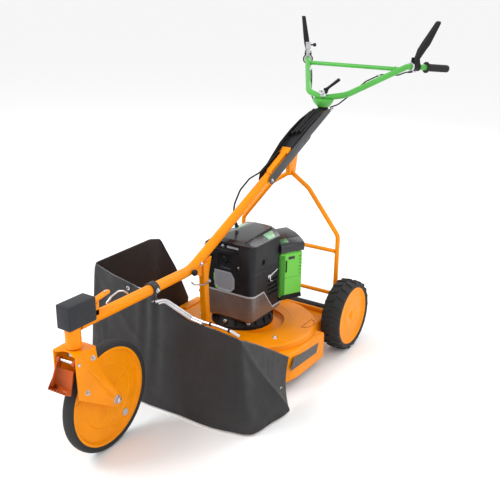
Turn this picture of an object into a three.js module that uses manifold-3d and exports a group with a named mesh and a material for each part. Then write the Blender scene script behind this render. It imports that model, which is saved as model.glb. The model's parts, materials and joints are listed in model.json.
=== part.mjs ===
// Three-wheeled battery high-grass mower: castor front wheel, pressed deck with a rotary
// blade, single backbone tube, swivelling handlebar. Millimetres, +Z up, front towards -Y,
// the mower's left side towards +X. The ground is z = 0.
import * as THREE from 'three';
import { mergeVertices } from 'three/addons/utils/BufferGeometryUtils.js';
import Module from 'manifold-3d';

const wasm = await Module();
wasm.setup();

// ---------------------------------------------------------------- driving dimensions
const GAP = 0.3;                 // clearance kept between touching pieces
const WHEELBASE = 1050;          // rear axle to front axle
const REAR_AXLE_Y = 230;         // puts the middle of the whole mower on y = 0
const at = (fromAxle) => REAR_AXLE_Y + fromAxle;

const FRONT_WHEEL_R = 180;
const FRONT_RIM_R = 160;
const FRONT_TYRE_W = 34;
const TRAIL = 123;               // steering axis ahead of the front axle
const STEER_Y = at(-WHEELBASE - TRAIL);
const SWIVEL_AT_REST = THREE.MathUtils.degToRad(3);
const FORK_TOP_Z = 400;
const CHEEK_X = 44;              // outer face of a fork cheek
const SHEET = 4;                 // thickness of the fork sheet

const REAR_WHEEL_R = 143;
const REAR_RIM_R = 117;
const REAR_TYRE_IN = 257;        // inner and outer side of a rear tyre
const REAR_TYRE_OUT = 337;

const TUBE_R = 17.5;             // backbone tube
const HEAD_R = 23.5;             // steering head tube
const FRONT_TUBE_Z = 463.5;
const BEND_Y = at(-625.5);       // where the backbone turns upward
const RISE = 0.4625;             // slope of the upper backbone
const TUBE_TOP_Y = at(291);
const upperZ = (y) => FRONT_TUBE_Z + RISE * (y - BEND_Y);

const BLOCK = { x: 26.5, front: at(-1207), rear: at(-1100), low: 467, high: 541 };

const DECK_Z = 141;              // deck roof
const DECK_SKIRT = 36;           // lowest edge of the deck
const DECK_WALL = 4;
const DECK_HALF_W = 304;
const SHOULDER_REAR_Y = at(-190); // the deck is narrower behind this, between the wheels
const MOTOR_Y = at(-300);        // motor and blade axis
const PLATEAU_Z = 162;           // raised ring under the motor

const FRAME_R = 9;               // rear frame tube
const FRAME_Y = at(43);
const FRAME_X = 226;
const AXLE_Z = REAR_WHEEL_R;
const AXLE_TUBE_R = 16;

const BAR_R = 12.5;              // handlebar tube
const SWIVEL_Y = at(297);        // handlebar swivel axis
const CAM_Z = 971;               // height of the clamp lever's pin
const ARM_END = new THREE.Vector3(244.5, at(593), 1066);
const GRIP_DIR = new THREE.Vector3(0.48, 0.873, -0.086).normalize();
const GRIP_START = 98;
const GRIP_END = 224;
const LEVER_PIVOT = { s: 38, h: 25 };
const LEVER_LEAN = 0.16;         // outward tilt of the hand levers

// ---------------------------------------------------------------- materials
const finish = (color, roughness, metalness = 0) =>
  new THREE.MeshStandardMaterial({ color, roughness, metalness });
const ORANGE = finish(0xf28a05, 0.38);
const RUST_ORANGE = finish(0xb8460f, 0.45);
const GREEN = finish(0x4fb848, 0.4);
const LIME = finish(0x6cc83a, 0.45);
const BLACK = finish(0x26262a, 0.5);
const FOAM_BLACK = finish(0x3a3b40, 0.8);
const RUBBER = finish(0x1c1c1e, 0.85);
const CLOTH = finish(0x3a393e, 0.75);
const SMOKE = finish(0x6b5a54, 0.25);
const GREY = finish(0x8d8f96, 0.5);
const ZINC = finish(0xc9ccd2, 0.3, 0.9);
const STEEL = finish(0x8a8c90, 0.35, 0.9);

// ---------------------------------------------------------------- solids and cuts
function solid(geometry) {
  const plain = geometry.index ? geometry.toNonIndexed() : geometry.clone();
  plain.deleteAttribute('normal');
  plain.deleteAttribute('uv');
  const merged = mergeVertices(plain, 1e-4);
  return new wasm.Manifold(new wasm.Mesh({
    numProp: 3,
    vertProperties: new Float32Array(merged.attributes.position.array),
    triVerts: new Uint32Array(merged.index.array),
  }));
}

function geometryOf(manifold) {
  const mesh = manifold.getMesh();
  const geometry = new THREE.BufferGeometry();
  geometry.setAttribute('position', new THREE.BufferAttribute(mesh.vertProperties, 3));
  geometry.setIndex(new THREE.BufferAttribute(mesh.triVerts, 1));
  return geometry;
}

const cut = (body, ...tools) =>
  geometryOf(tools.reduce((rest, tool) => rest.subtract(solid(tool)), solid(body)));

const join = (body, ...others) =>
  geometryOf(others.reduce((all, other) => all.add(solid(other)), solid(body)));

// ---------------------------------------------------------------- shape helpers
const V = (x, y, z) => new THREE.Vector3(x, y, z);

// A route that passes through its points one by one, so each ring of a swept tube
// stands on a chosen point and faces along the mean of its two stretches.
class Route extends THREE.Curve {
  constructor(points) {
    super();
    this.points = points;
  }

  getPoint(t) {
    const last = this.points.length - 1;
    const place = Math.min(Math.max(t, 0), 1) * last;
    const index = Math.min(Math.floor(place), last - 1);
    return this.points[index].clone().lerp(this.points[index + 1], place - index);
  }

  getPointAt(u) {
    return this.getPoint(u);
  }

  getTangent(t) {
    const last = this.points.length - 1;
    const index = Math.round(t * last);
    const before = this.points[Math.max(index - 1, 0)];
    const here = this.points[index];
    const after = this.points[Math.min(index + 1, last)];
    const tangent = V(0, 0, 0);
    if (index > 0) tangent.add(here.clone().sub(before).normalize());
    if (index < last) tangent.add(after.clone().sub(here).normalize());
    return tangent.normalize();
  }

  getTangentAt(u) {
    return this.getTangent(u);
  }
}

// Rounds the inner corners of a polyline with arcs of the given bend radius.
function rounded(points, bendRadius, steps = 4) {
  const route = [points[0]];
  for (let i = 1; i < points.length - 1; i += 1) {
    const back = points[i - 1].clone().sub(points[i]);
    const ahead = points[i + 1].clone().sub(points[i]);
    const half = back.angleTo(ahead) / 2;
    const reach = Math.min(bendRadius / Math.tan(half), back.length() * 0.45, ahead.length() * 0.45);
    const start = points[i].clone().addScaledVector(back.normalize(), reach);
    const end = points[i].clone().addScaledVector(ahead.normalize(), reach);
    const arc = new THREE.QuadraticBezierCurve3(start, points[i], end);
    route.push(...arc.getPoints(steps));
  }
  route.push(points[points.length - 1]);
  return route;
}

function circle(radius, sides) {
  const corners = [];
  for (let i = 0; i < sides; i += 1) {
    const angle = (i + 0.5) / sides * 2 * Math.PI;
    corners.push(new THREE.Vector2(radius * Math.cos(angle), radius * Math.sin(angle)));
  }
  return new THREE.Shape(corners);
}

// A round bar or tube through the points, as one closed solid.
function bar(points, radius, { sides = 12, bend = 0, steps = 4 } = {}) {
  const route = bend > 0 ? rounded(points, bend, steps) : points;
  return new THREE.ExtrudeGeometry(circle(radius, sides), {
    steps: route.length - 1,
    extrudePath: new Route(route),
    curveSegments: sides,
  });
}

// A plate: outline in the y-z plane as [y, z] pairs, spread along x.
function sidePlate(outline, xLow, xHigh) {
  const shape = new THREE.Shape(outline.map(([y, z]) => new THREE.Vector2(y, z)));
  const plate = new THREE.ExtrudeGeometry(shape, { depth: xHigh - xLow, bevelEnabled: false });
  plate.applyMatrix4(new THREE.Matrix4().set(
    0, 0, 1, xLow,
    1, 0, 0, 0,
    0, 1, 0, 0,
    0, 0, 0, 1,
  ));
  return plate;
}

// A block: outline in the x-y plane as [x, y] pairs, spread along z.
function standing(outline, zLow, zHigh) {
  const shape = new THREE.Shape(outline.map(([x, y]) => new THREE.Vector2(x, y)));
  const block = new THREE.ExtrudeGeometry(shape, { depth: zHigh - zLow, bevelEnabled: false });
  return block.translate(0, 0, zLow);
}

const box = (x0, x1, y0, y1, z0, z1) =>
  new THREE.BoxGeometry(x1 - x0, y1 - y0, z1 - z0)
    .translate((x0 + x1) / 2, (y0 + y1) / 2, (z0 + z1) / 2);

// A turned body on a vertical axis through (x, y); the profile lists [radius, z].
function turned(profile, x, y, sides = 28) {
  const points = profile.map(([radius, z]) => new THREE.Vector2(radius, z));
  return new THREE.LatheGeometry(points, sides).rotateX(Math.PI / 2).translate(x, y, 0);
}

// A turned body on an axis along x; the profile lists [radius, x].
function wheelBody(profile, y, z, sides = 32) {
  const points = profile.map(([radius, x]) => new THREE.Vector2(radius, x));
  return new THREE.LatheGeometry(points, sides).rotateZ(-Math.PI / 2).translate(0, y, z);
}

// ---------------------------------------------------------------- scene graph
const mower = new THREE.Group();
const frontEnd = new THREE.Group();
frontEnd.position.set(0, STEER_Y, 0);
frontEnd.rotation.z = SWIVEL_AT_REST;
mower.add(frontEnd);

function place(name, geometry, material, parent = mower) {
  const mesh = new THREE.Mesh(geometry, material);
  mesh.name = name;
  parent.add(mesh);
  return mesh;
}

// ---------------------------------------------------------------- backbone
const TUBE_START_Y = STEER_Y + HEAD_R + 0.5;
const backboneLine = [
  V(0, TUBE_START_Y, FRONT_TUBE_Z),
  V(0, BEND_Y, FRONT_TUBE_Z),
  V(0, TUBE_TOP_Y, upperZ(TUBE_TOP_Y)),
];
const backbone = (radius) => bar(backboneLine, radius, { sides: 16, bend: 160, steps: 4 });
const headTube = (radius, zLow, zHigh) =>
  bar([V(0, STEER_Y, zLow), V(0, STEER_Y, zHigh)], radius, { sides: 20 });
const KINGPIN_R = 13;

const LOCK_PIVOT = { y: at(-1088), z: 514 };

// Two ears and a pin welded on the tube behind the block, for the swivel lock lever.
function lockLeverEars() {
  const ear = (x0, x1) => sidePlate([
    [at(-1096), FRONT_TUBE_Z], [at(-1080), FRONT_TUBE_Z], [at(-1080), 522], [at(-1096), 522],
  ], x0, x1);
  return join(
    box(-17, 17, at(-1096), at(-1080), FRONT_TUBE_Z + 8, FRONT_TUBE_Z + 30),
    ear(-17, -13.4),
    ear(13.4, 17),
    bar([V(-19, LOCK_PIVOT.y, LOCK_PIVOT.z), V(19, LOCK_PIVOT.y, LOCK_PIVOT.z)], 3),
  );
}

function buildBackbone() {
  const clampHole = bar([V(0, SWIVEL_Y, 850), V(0, SWIVEL_Y, 1000)], 6, { sides: 10 });
  place('main_tube', cut(join(backbone(TUBE_R), lockLeverEars()), clampHole), ORANGE);
  const bore = headTube(KINGPIN_R + GAP, 390, 540);
  place('head_tube', cut(headTube(HEAD_R, FORK_TOP_Z + 2, 522), bore), ORANGE);

  const strutLine = [V(0, at(-548), 478), V(0, at(-543), 300), V(0, at(-533), DECK_Z - 20)];
  const strut = join(
    bar(strutLine, 15, { sides: 14, bend: 200 }),
    sidePlate([
      [at(-540), 380], [at(-526), 400], [at(-518), 440], [at(-504), 486], [at(-560), 500],
      [at(-612), 450], [at(-566), 420], [at(-552), 395],
    ], -5, 5),
  );
  const underDeckTop = box(-30, 30, at(-600), at(-480), DECK_Z - 60, DECK_Z + GAP);
  place('front_strut', cut(strut, backbone(TUBE_R + GAP), underDeckTop), ORANGE);

  const shell = box(-BLOCK.x, BLOCK.x, BLOCK.front, BLOCK.rear, BLOCK.low, BLOCK.high);
  const slotHalf = TUBE_R + GAP;
  const belowTube = box(-slotHalf, slotHalf, STEER_Y, BLOCK.rear + 20, 440, FRONT_TUBE_Z);
  const tubeSlot = join(backbone(slotHalf), belowTube);
  place('bumper_block', cut(shell, headTube(HEAD_R + GAP, 430, 525), tubeSlot), FOAM_BLACK);

  const ringLine = [V(0, at(-839), FRONT_TUBE_Z), V(0, at(-813), FRONT_TUBE_Z)];
  const hooks = join(
    box(-8, 8, at(-836), at(-828), FRONT_TUBE_Z - 40, FRONT_TUBE_Z - 20),
    box(-8, 8, at(-824), at(-816), FRONT_TUBE_Z - 40, FRONT_TUBE_Z - 20),
  );
  const ring = join(bar(ringLine, 23.5, { sides: 20 }), hooks);
  place('apron_clamp', cut(ring, backbone(TUBE_R + GAP)), BLACK);
}

// ---------------------------------------------------------------- front fork and wheel
// Built about the steering axis: y = 0 is the axis and the axle stands at y = TRAIL.
function forkOutline() {
  const rearEnd = [];
  for (let i = 0; i <= 8; i += 1) {
    const angle = THREE.MathUtils.degToRad(35 - i * 19);
    rearEnd.push([TRAIL + 24 * Math.cos(angle), FRONT_WHEEL_R + 24 * Math.sin(angle)]);
  }
  return [[-40, FORK_TOP_Z], [42, FORK_TOP_Z], [52, 338], ...rearEnd, [-38, 258]];
}

function buildFork() {
  const cheek = (x0, x1) => sidePlate(forkOutline(), x0, x1);
  const top = box(-CHEEK_X, CHEEK_X, -40, 42, FORK_TOP_Z - SHEET, FORK_TOP_Z);
  const boltHole = (y, z, r) => bar([V(-60, y, z), V(60, y, z)], r, { sides: 12 });
  const kingpinHole = bar([V(0, 0, 380), V(0, 0, 420)], KINGPIN_R + GAP, { sides: 20 });
  const fork = join(
    top,
    cheek(-CHEEK_X, -CHEEK_X + SHEET),
    cheek(CHEEK_X - SHEET, CHEEK_X),
  );
  const crossPin = bar([V(-49, -31, 370), V(49, -31, 370)], 5);
  const drilled = cut(fork, boltHole(TRAIL, FRONT_WHEEL_R, 8 + GAP), kingpinHole);
  place('fork', join(drilled, crossPin), ORANGE, frontEnd);
  const pin = (r, z0, z1) => bar([V(0, 0, z0), V(0, 0, z1)], r, { sides: 20 });
  place('kingpin', join(pin(KINGPIN_R, 380, 519), pin(20, 380, FORK_TOP_Z - SHEET - GAP)), STEEL, frontEnd);
  const bolt = join(
    bar([V(-54, TRAIL, FRONT_WHEEL_R), V(54, TRAIL, FRONT_WHEEL_R)], 8),
    bar([V(-52, TRAIL, FRONT_WHEEL_R), V(-CHEEK_X - GAP, TRAIL, FRONT_WHEEL_R)], 13, { sides: 6 }),
    bar([V(CHEEK_X + GAP, TRAIL, FRONT_WHEEL_R), V(52, TRAIL, FRONT_WHEEL_R)], 13, { sides: 6 }),
  );
  place('front_axle_bolt', bolt, ZINC, frontEnd);
}

function buildForkPedal() {
  const hub = bar([V(-34, -31, 370), V(34, -31, 370)], 10);
  const arm = (x0, x1) => sidePlate([[-40, 364], [-22, 360], [-30, 318], [-58, 288], [-70, 300]], x0, x1);
  const tread = sidePlate([[-38, 360], [-33, 358], [-62, 284], [-82, 296], [-79, 301], [-64, 292]], -34, 34);
  const pedal = join(hub, arm(-34, -30), arm(30, 34), tread);
  const bore = bar([V(-60, -31, 370), V(60, -31, 370)], 5 + GAP);
  place('fork_pedal', cut(pedal, bore), RUST_ORANGE, frontEnd);
}

function buildFrontWheel() {
  const half = FRONT_TYRE_W / 2;
  const tyre = [
    [FRONT_RIM_R, -half + 2], [FRONT_RIM_R + 10, -half], [FRONT_WHEEL_R - 5, -half + 2],
    [FRONT_WHEEL_R, -half + 9], [FRONT_WHEEL_R, half - 9], [FRONT_WHEEL_R - 5, half - 2],
    [FRONT_RIM_R + 10, half], [FRONT_RIM_R, half - 2], [FRONT_RIM_R, -half + 2],
  ];
  place('front_tyre', wheelBody(tyre, TRAIL, FRONT_WHEEL_R, 28), RUBBER, frontEnd);
  const rimR = FRONT_RIM_R - GAP;
  const rim = [
    [14, -36], [24, -36], [24, -9], [rimR - 12, -7], [rimR - 9, -14], [rimR, -14],
    [rimR, 14], [rimR - 9, 14], [rimR - 12, 7], [24, 9], [24, 36], [14, 36], [14, -36],
  ];
  place('front_rim', wheelBody(rim, TRAIL, FRONT_WHEEL_R, 28), ORANGE, frontEnd);
  const bush = [[8 + GAP, -38], [14 - GAP, -38], [14 - GAP, 38], [8 + GAP, 38], [8 + GAP, -38]];
  place('front_wheel_bush', wheelBody(bush, TRAIL, FRONT_WHEEL_R, 16), STEEL, frontEnd);
}

// ---------------------------------------------------------------- swivel lock

function buildSwivelLock() {
  const tilt = THREE.MathUtils.degToRad(10);
  const reach = 66;
  const along = (d, n) => [
    LOCK_PIVOT.y + d * Math.cos(tilt) - n * Math.sin(tilt),
    LOCK_PIVOT.z + d * Math.sin(tilt) + n * Math.cos(tilt),
  ];
  const blade = sidePlate([
    along(0, -4), along(reach, -4), along(reach + 4, 0), along(reach, 4), along(0, 4),
  ], -11, 11);
  const boss = bar([V(-13, LOCK_PIVOT.y, LOCK_PIVOT.z), V(13, LOCK_PIVOT.y, LOCK_PIVOT.z)], 9);
  const bore = bar([V(-20, LOCK_PIVOT.y, LOCK_PIVOT.z), V(20, LOCK_PIVOT.y, LOCK_PIVOT.z)], 3.5);
  place('swivel_lock_lever', cut(join(blade, boss), bore), ORANGE);
}

// ---------------------------------------------------------------- deck
function deckOutline(inset) {
  const halfW = DECK_HALF_W - inset;
  const rearHalfW = 244 - inset;
  const outline = [[rearHalfW, at(-26) - inset], [rearHalfW, SHOULDER_REAR_Y - inset]];
  const front = at(-606) + inset;
  const shoulder = at(-330);
  outline.push([halfW, SHOULDER_REAR_Y - inset]);
  for (let i = 0; i <= 8; i += 1) {
    const angle = (i / 8) * (Math.PI / 2);
    const x = halfW * Math.cos(angle) ** 0.8;
    outline.push([x, shoulder - (shoulder - front) * Math.sin(angle) ** 0.8]);
  }
  outline[outline.length - 1][0] = 0;
  const mirrored = outline.slice(0, -1).reverse().map(([x, y]) => [-x, y]);
  return [...outline, ...mirrored].reverse();
}

const PLATEAU_FOOT_R = 214;
const PLATEAU_TOP_R = 196;

function buildDeck() {
  const outer = standing(deckOutline(0), DECK_SKIRT, DECK_Z);
  const hollow = standing(deckOutline(DECK_WALL), DECK_SKIRT - 10, DECK_Z - DECK_WALL);
  const ring = turned([[0, DECK_Z - 2], [PLATEAU_FOOT_R, DECK_Z - 2], [PLATEAU_FOOT_R, DECK_Z],
    [PLATEAU_TOP_R, PLATEAU_Z], [0, PLATEAU_Z]], 0, MOTOR_Y, 40);
  const under = turned([[0, DECK_SKIRT - 10], [PLATEAU_TOP_R - 6, DECK_SKIRT - 10],
    [PLATEAU_TOP_R - 6, PLATEAU_Z - DECK_WALL], [0, PLATEAU_Z - DECK_WALL]], 0, MOTOR_Y, 40);
  const shaftHole = bar([V(0, MOTOR_Y, 150), V(0, MOTOR_Y, 170)], 22, { sides: 20 });
  place('deck', cut(join(outer, ring), hollow, under, shaftHole), ORANGE);
}

function buildApron() {
  // Stations run from the rear right edge, round the front, to the rear left edge.
  // Each gives x, y, z of the upper rim and x, y of the hem.
  const HEM_Z = 8;
  const stations = [
    [-311, at(-250), 150, -322, at(-262)],
    [-311, at(-330), 312, -338, at(-345)],
    [-309, at(-420), 456, -356, at(-440)],
    [-306, at(-485), 474, -364, at(-520)],
    [-303, at(-640), 472, -372, at(-660)],
    [-312, at(-770), 464, -374, at(-778)],
    [-212, at(-784), 446, -250, at(-800)],
    [-110, at(-785), 428, -130, at(-804)],
    [0, at(-784), 400, 0, at(-806)],
    [115, at(-783), 358, 130, at(-804)],
    [210, at(-781), 356, 250, at(-796)],
    [306, at(-776), 344, 344, at(-770)],
    [309, at(-670), 284, 362, at(-700)],
    [311, at(-560), 214, 374, at(-620)],
    [311, at(-465), 150, 372, at(-556)],
  ];
  const THICK = 4;
  const spans = stations.length - 1;
  const heights = 3;
  const sheet = new THREE.BoxGeometry(1, 1, 1, spans, 1, heights);
  const middle = V(0, at(-500), 0);
  const position = sheet.attributes.position;
  for (let i = 0; i < position.count; i += 1) {
    const station = stations[Math.round((position.getX(i) + 0.5) * spans)];
    const up = position.getZ(i) + 0.5;
    const rim = V(station[0], station[1], station[2]);
    const hem = V(station[3], station[4], HEM_Z);
    const point = hem.lerp(rim, up);
    const inward = V(middle.x - point.x, middle.y - point.y, 0).normalize();
    if (Math.abs(point.y - middle.y) < 250) inward.set(Math.sign(inward.x), 0, 0);
    if (Math.abs(point.x) < 280) inward.set(0, 1, 0);
    point.addScaledVector(inward, (position.getY(i) + 0.5) * THICK);
    position.setXYZ(i, point.x, point.y, point.z);
  }
  place('apron', sheet, CLOTH);

  const rodLeft = [
    V(7, at(-818), FRONT_TUBE_Z - 46), V(22, at(-788), 418), V(115, at(-768), 372), V(160, at(-769), 368),
    V(223, at(-768), 367), V(270, at(-768), 364), V(298, at(-764), 352),
  ];
  const rodRight = [
    V(-7, at(-818), FRONT_TUBE_Z - 46), V(-34, at(-768), 414), V(-120, at(-768), 419),
    V(-210, at(-768), 430), V(-286, at(-762), 442),
  ];
  place('apron_rod_left', bar(rodLeft, 5, { sides: 8, bend: 40, steps: 2 }), ZINC);
  place('apron_rod_right', bar(rodRight, 5, { sides: 8, bend: 40, steps: 2 }), ZINC);
}

// ---------------------------------------------------------------- battery place
// The battery stands behind the motor's left corner, its outer face turned forward.
const BATTERY = {
  face: V(150.5, at(-191), 0),   // middle of the outer face
  turn: THREE.MathUtils.degToRad(-27),
  depth: 118,
  halfW: 50,
  low: 250,
  high: 430,
};

// A block in the battery's own directions: d runs outward from the outer face, t along it.
function batteryBlock(d0, d1, t0, t1, z0, z1) {
  return box(d0, d1, t0, t1, z0, z1)
    .rotateZ(BATTERY.turn)
    .translate(BATTERY.face.x, BATTERY.face.y, 0);
}

function batteryPlate(outline, t0, t1) {
  return sidePlate(outline, t0, t1)
    .rotateZ(-Math.PI / 2)
    .rotateZ(BATTERY.turn)
    .translate(BATTERY.face.x, BATTERY.face.y, 0);
}

const batteryWay = (zLow, zHigh) =>
  batteryBlock(-BATTERY.depth - 14, 160, -BATTERY.halfW - 5, BATTERY.halfW + 5, zLow, zHigh);

function buildBattery() {
  const { depth, halfW, low, high } = BATTERY;
  const body = join(
    batteryBlock(-depth, 0, -halfW, halfW, low, high),
    batteryBlock(-depth + 8, -4, -halfW + 6, halfW - 6, high - 1, high + 3),
  );
  place('battery', body, LIME);
  const bay = join(
    batteryBlock(-depth - 12, -4, -halfW - 3, halfW + 3, low - 12, low - GAP),
    batteryBlock(-depth - 12, -depth - 2, -halfW - 3, halfW + 3, low - 12, high),
  );
  place('battery_bay', cut(bay, motorBlock(4, 200, 600)), BLACK);
  const flap = batteryPlate([
    [-depth - 8, high + 5], [6, high + 5], [9, high + 34], [0, high + 50], [-62, high + 62],
    [-depth - 4, high + 64], [-depth - 12, high + 54],
  ], -halfW - 3, halfW + 3);
  place('battery_flap', flap, BLACK);
}

// ---------------------------------------------------------------- motor and blade
const MOTOR_HALF = 123;
const MOTOR_CORNER = 42;
const SHROUD_LOW = 206;
const HOUSING_LOW = 292;
const HOUSING_HIGH = 448;

function motorBlock(grow, zLow, zHigh, corner = MOTOR_CORNER) {
  const half = MOTOR_HALF + grow;
  const side = half - corner;
  return standing([
    [half, MOTOR_Y - side], [half, MOTOR_Y + side], [side, MOTOR_Y + half], [-side, MOTOR_Y + half],
    [-half, MOTOR_Y + side], [-half, MOTOR_Y - side], [-side, MOTOR_Y - half], [side, MOTOR_Y - half],
  ], zLow, zHigh);
}

function buildMotorBody() {
  const shaftWay = bar([V(0, MOTOR_Y, 100), V(0, MOTOR_Y, 430)], 22, { sides: 20 });
  const base = turned([[0, PLATEAU_Z + GAP], [120, PLATEAU_Z + GAP], [120, 176],
    [110, SHROUD_LOW - GAP], [0, SHROUD_LOW - GAP]], 0, MOTOR_Y);
  place('motor_base', cut(base, shaftWay), BLACK);
  const statorRoom = turned([[0, SHROUD_LOW - 5], [92, SHROUD_LOW - 5], [92, 330], [0, 330]], 0, MOTOR_Y);
  const shroud = turned([[0, SHROUD_LOW], [112, SHROUD_LOW], [122, SHROUD_LOW + 12], [126, HOUSING_LOW - 8],
    [122, HOUSING_LOW - GAP], [0, HOUSING_LOW - GAP]], 0, MOTOR_Y);
  place('motor_shroud', cut(shroud, statorRoom, batteryWay(BATTERY.low - 12.3, 600)), SMOKE);
  const housing = motorBlock(0, HOUSING_LOW, HOUSING_HIGH);
  place('motor_housing', cut(housing, statorRoom, batteryWay(BATTERY.low - 12.3, 600)), BLACK);
  const grille = sidePlate([
    [-50, 334], [-34, 318], [22, 318], [38, 336], [38, 374], [22, 396], [-50, 396],
  ], -2, 2).rotateZ(-Math.PI / 2);
  place('grille_panel', grille.translate(8, MOTOR_Y - MOTOR_HALF - 2 - GAP, 0), GREY);

  const low = HOUSING_HIGH + GAP;
  const along = sidePlate([
    [MOTOR_Y - 126, low], [MOTOR_Y + 120, low], [MOTOR_Y + 120, low + 56],
    [MOTOR_Y + 20, low + 90], [MOTOR_Y - 60, low + 76], [MOTOR_Y - 126, low + 18],
  ], -130, 130);
  const across = sidePlate([
    [-112, low], [127, low], [127, low + 50], [100, low + 88], [-10, low + 92], [-112, low + 22],
  ], -130, 130).rotateZ(-Math.PI / 2).translate(0, MOTOR_Y, 0);
  const lid = geometryOf(solid(along).intersect(solid(across)).intersect(solid(motorBlock(3, low, 600, 58))));
  place('motor_lid', cut(lid, batteryWay(400, 700)), BLACK);
}

function buildRotor() {
  const ring = (inner, outer, zLow, zHigh) => turned(
    [[inner, zLow], [outer, zLow], [outer, zHigh], [inner, zHigh], [inner, zLow]],
    0,
    MOTOR_Y,
    16,
  );
  const upright = (radius, zLow, zHigh, sides) =>
    bar([V(0, MOTOR_Y, zLow), V(0, MOTOR_Y, zHigh)], radius, { sides });
  place('motor_stator', ring(38, 90, SHROUD_LOW + 4, 322), STEEL);
  const rotor = upright(36, SHROUD_LOW + 8, 318, 16);
  place('motor_rotor', join(upright(12, 76, 326, 16), rotor), STEEL);
  const blade = join(
    box(-250, 250, MOTOR_Y - 27, MOTOR_Y + 27, 66, 71),
    box(-250, -170, MOTOR_Y + 18, MOTOR_Y + 30, 66, 84),
    box(170, 250, MOTOR_Y - 30, MOTOR_Y - 18, 66, 84),
  );
  place('blade', cut(blade, upright(7 + GAP, 50, 90, 12)), STEEL);
  const hub = join(ring(12 + GAP, 30, 75, 96), upright(30, 71 + GAP, 75.7, 16), upright(7, 60, 73, 12));
  place('blade_hub', join(hub, upright(15, 56, 66 - GAP, 6)), STEEL);
}

// ---------------------------------------------------------------- rear frame and wheels
const FRAME_TOP_Z = 679;
const BRACKET_HALF = 8;

function frameLeg(side, radius) {
  return bar([
    V(0, FRAME_Y, FRAME_TOP_Z), V(side * 85, FRAME_Y, 623),
    V(side * FRAME_X, FRAME_Y, 447), V(side * FRAME_X, FRAME_Y, 108),
  ], radius, { sides: 12, bend: 40, steps: 3 });
}

function crossbar(name, z, radius) {
  const reach = FRAME_X - FRAME_R - GAP;
  place(name, bar([V(-reach, FRAME_Y, z), V(reach, FRAME_Y, z)], radius), ORANGE);
}

function buildRearFrame() {
  crossbar('upper_crossbar', 381, 8);
  crossbar('lower_crossbar', 197, 8);
  const bracket = sidePlate([
    [FRAME_Y - 26, 668], [FRAME_Y + 22, 662], [FRAME_Y + 44, 772], [FRAME_Y - 30, 742],
  ], -BRACKET_HALF, BRACKET_HALF);
  place('frame_bracket', cut(bracket, backbone(TUBE_R + GAP)), ORANGE);
  for (const side of [1, -1]) {
    const inner = side * (FRAME_X - 14);
    const outer = side * (FRAME_X + 4);
    const plate = sidePlate([
      [at(-20), 108], [FRAME_Y + 13, 108], [FRAME_Y + 13, 176], [at(6), 176], [at(-20), 158],
    ], Math.min(inner, outer), Math.max(inner, outer));
    const leg = join(frameLeg(side, FRAME_R), plate);
    const axleHole = axleRod(-240, 240, AXLE_TUBE_R + GAP, 16);
    const bracketRoom = box(-BRACKET_HALF - GAP, BRACKET_HALF + GAP, at(0), at(100), 600, 800);
    place(side > 0 ? 'rear_leg_left' : 'rear_leg_right', cut(leg, axleHole, bracketRoom), ORANGE);
  }
  const bore = axleRod(-240, 240, 9);
  const gearbox = join(
    axleRod(-34, 34, 40, 20),
    box(-26, 26, at(-22), at(30), AXLE_Z, AXLE_Z + 62),
  );
  const rearClear = box(-60, 60, at(-60), at(-24), 60, 260);
  place('travel_gearbox', cut(gearbox, axleRod(-60, 60, AXLE_TUBE_R + GAP, 16), rearClear), BLACK);
  place('axle_tube', cut(axleRod(-236, 236, AXLE_TUBE_R, 16), bore), BLACK);
}

function axleRod(x0, x1, radius, sides = 12) {
  return bar([V(x0, at(0), AXLE_Z), V(x1, at(0), AXLE_Z)], radius, { sides });
}

function buildRearWheel(side, label) {
  const inX = REAR_TYRE_IN;
  const outX = REAR_TYRE_OUT;
  const face = (profile) => profile.map(([radius, x]) => [radius, side * x]);
  const tyre = [
    [REAR_RIM_R, inX + 4], [REAR_RIM_R + 12, inX], [REAR_WHEEL_R - 8, inX + 2], [REAR_WHEEL_R, inX + 16],
    [REAR_WHEEL_R, outX - 16], [REAR_WHEEL_R - 8, outX - 2], [REAR_RIM_R + 12, outX],
    [REAR_RIM_R, outX - 4], [REAR_RIM_R, inX + 4],
  ];
  const rimR = REAR_RIM_R - GAP;
  const rim = [
    [8.5 + GAP, inX - 10], [26, inX - 10], [26, outX - 32], [rimR - 8, outX - 22], [rimR - 4, inX + 14],
    [rimR, inX + 14], [rimR, outX - 4], [rimR - 8, outX - 4], [rimR - 16, outX - 12],
    [30, outX - 10], [8.5 + GAP, outX - 8], [8.5 + GAP, inX - 10],
  ];
  const order = (profile) => (side > 0 ? profile : profile.slice().reverse());
  place(`rear_tyre_${label}`, wheelBody(order(face(tyre)), at(0), AXLE_Z, 24), RUBBER);
  place(`rear_rim_${label}`, wheelBody(order(face(rim)), at(0), AXLE_Z, 24), ORANGE);
  const ends = side > 0 ? [36, outX - 12] : [-outX + 12, -36];
  place(`half_shaft_${label}`, axleRod(ends[0], ends[1], 8), STEEL);
}

// ---------------------------------------------------------------- console cover and cables
const COVER_IN = 23;
const COVER_OUT = 26;

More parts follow.
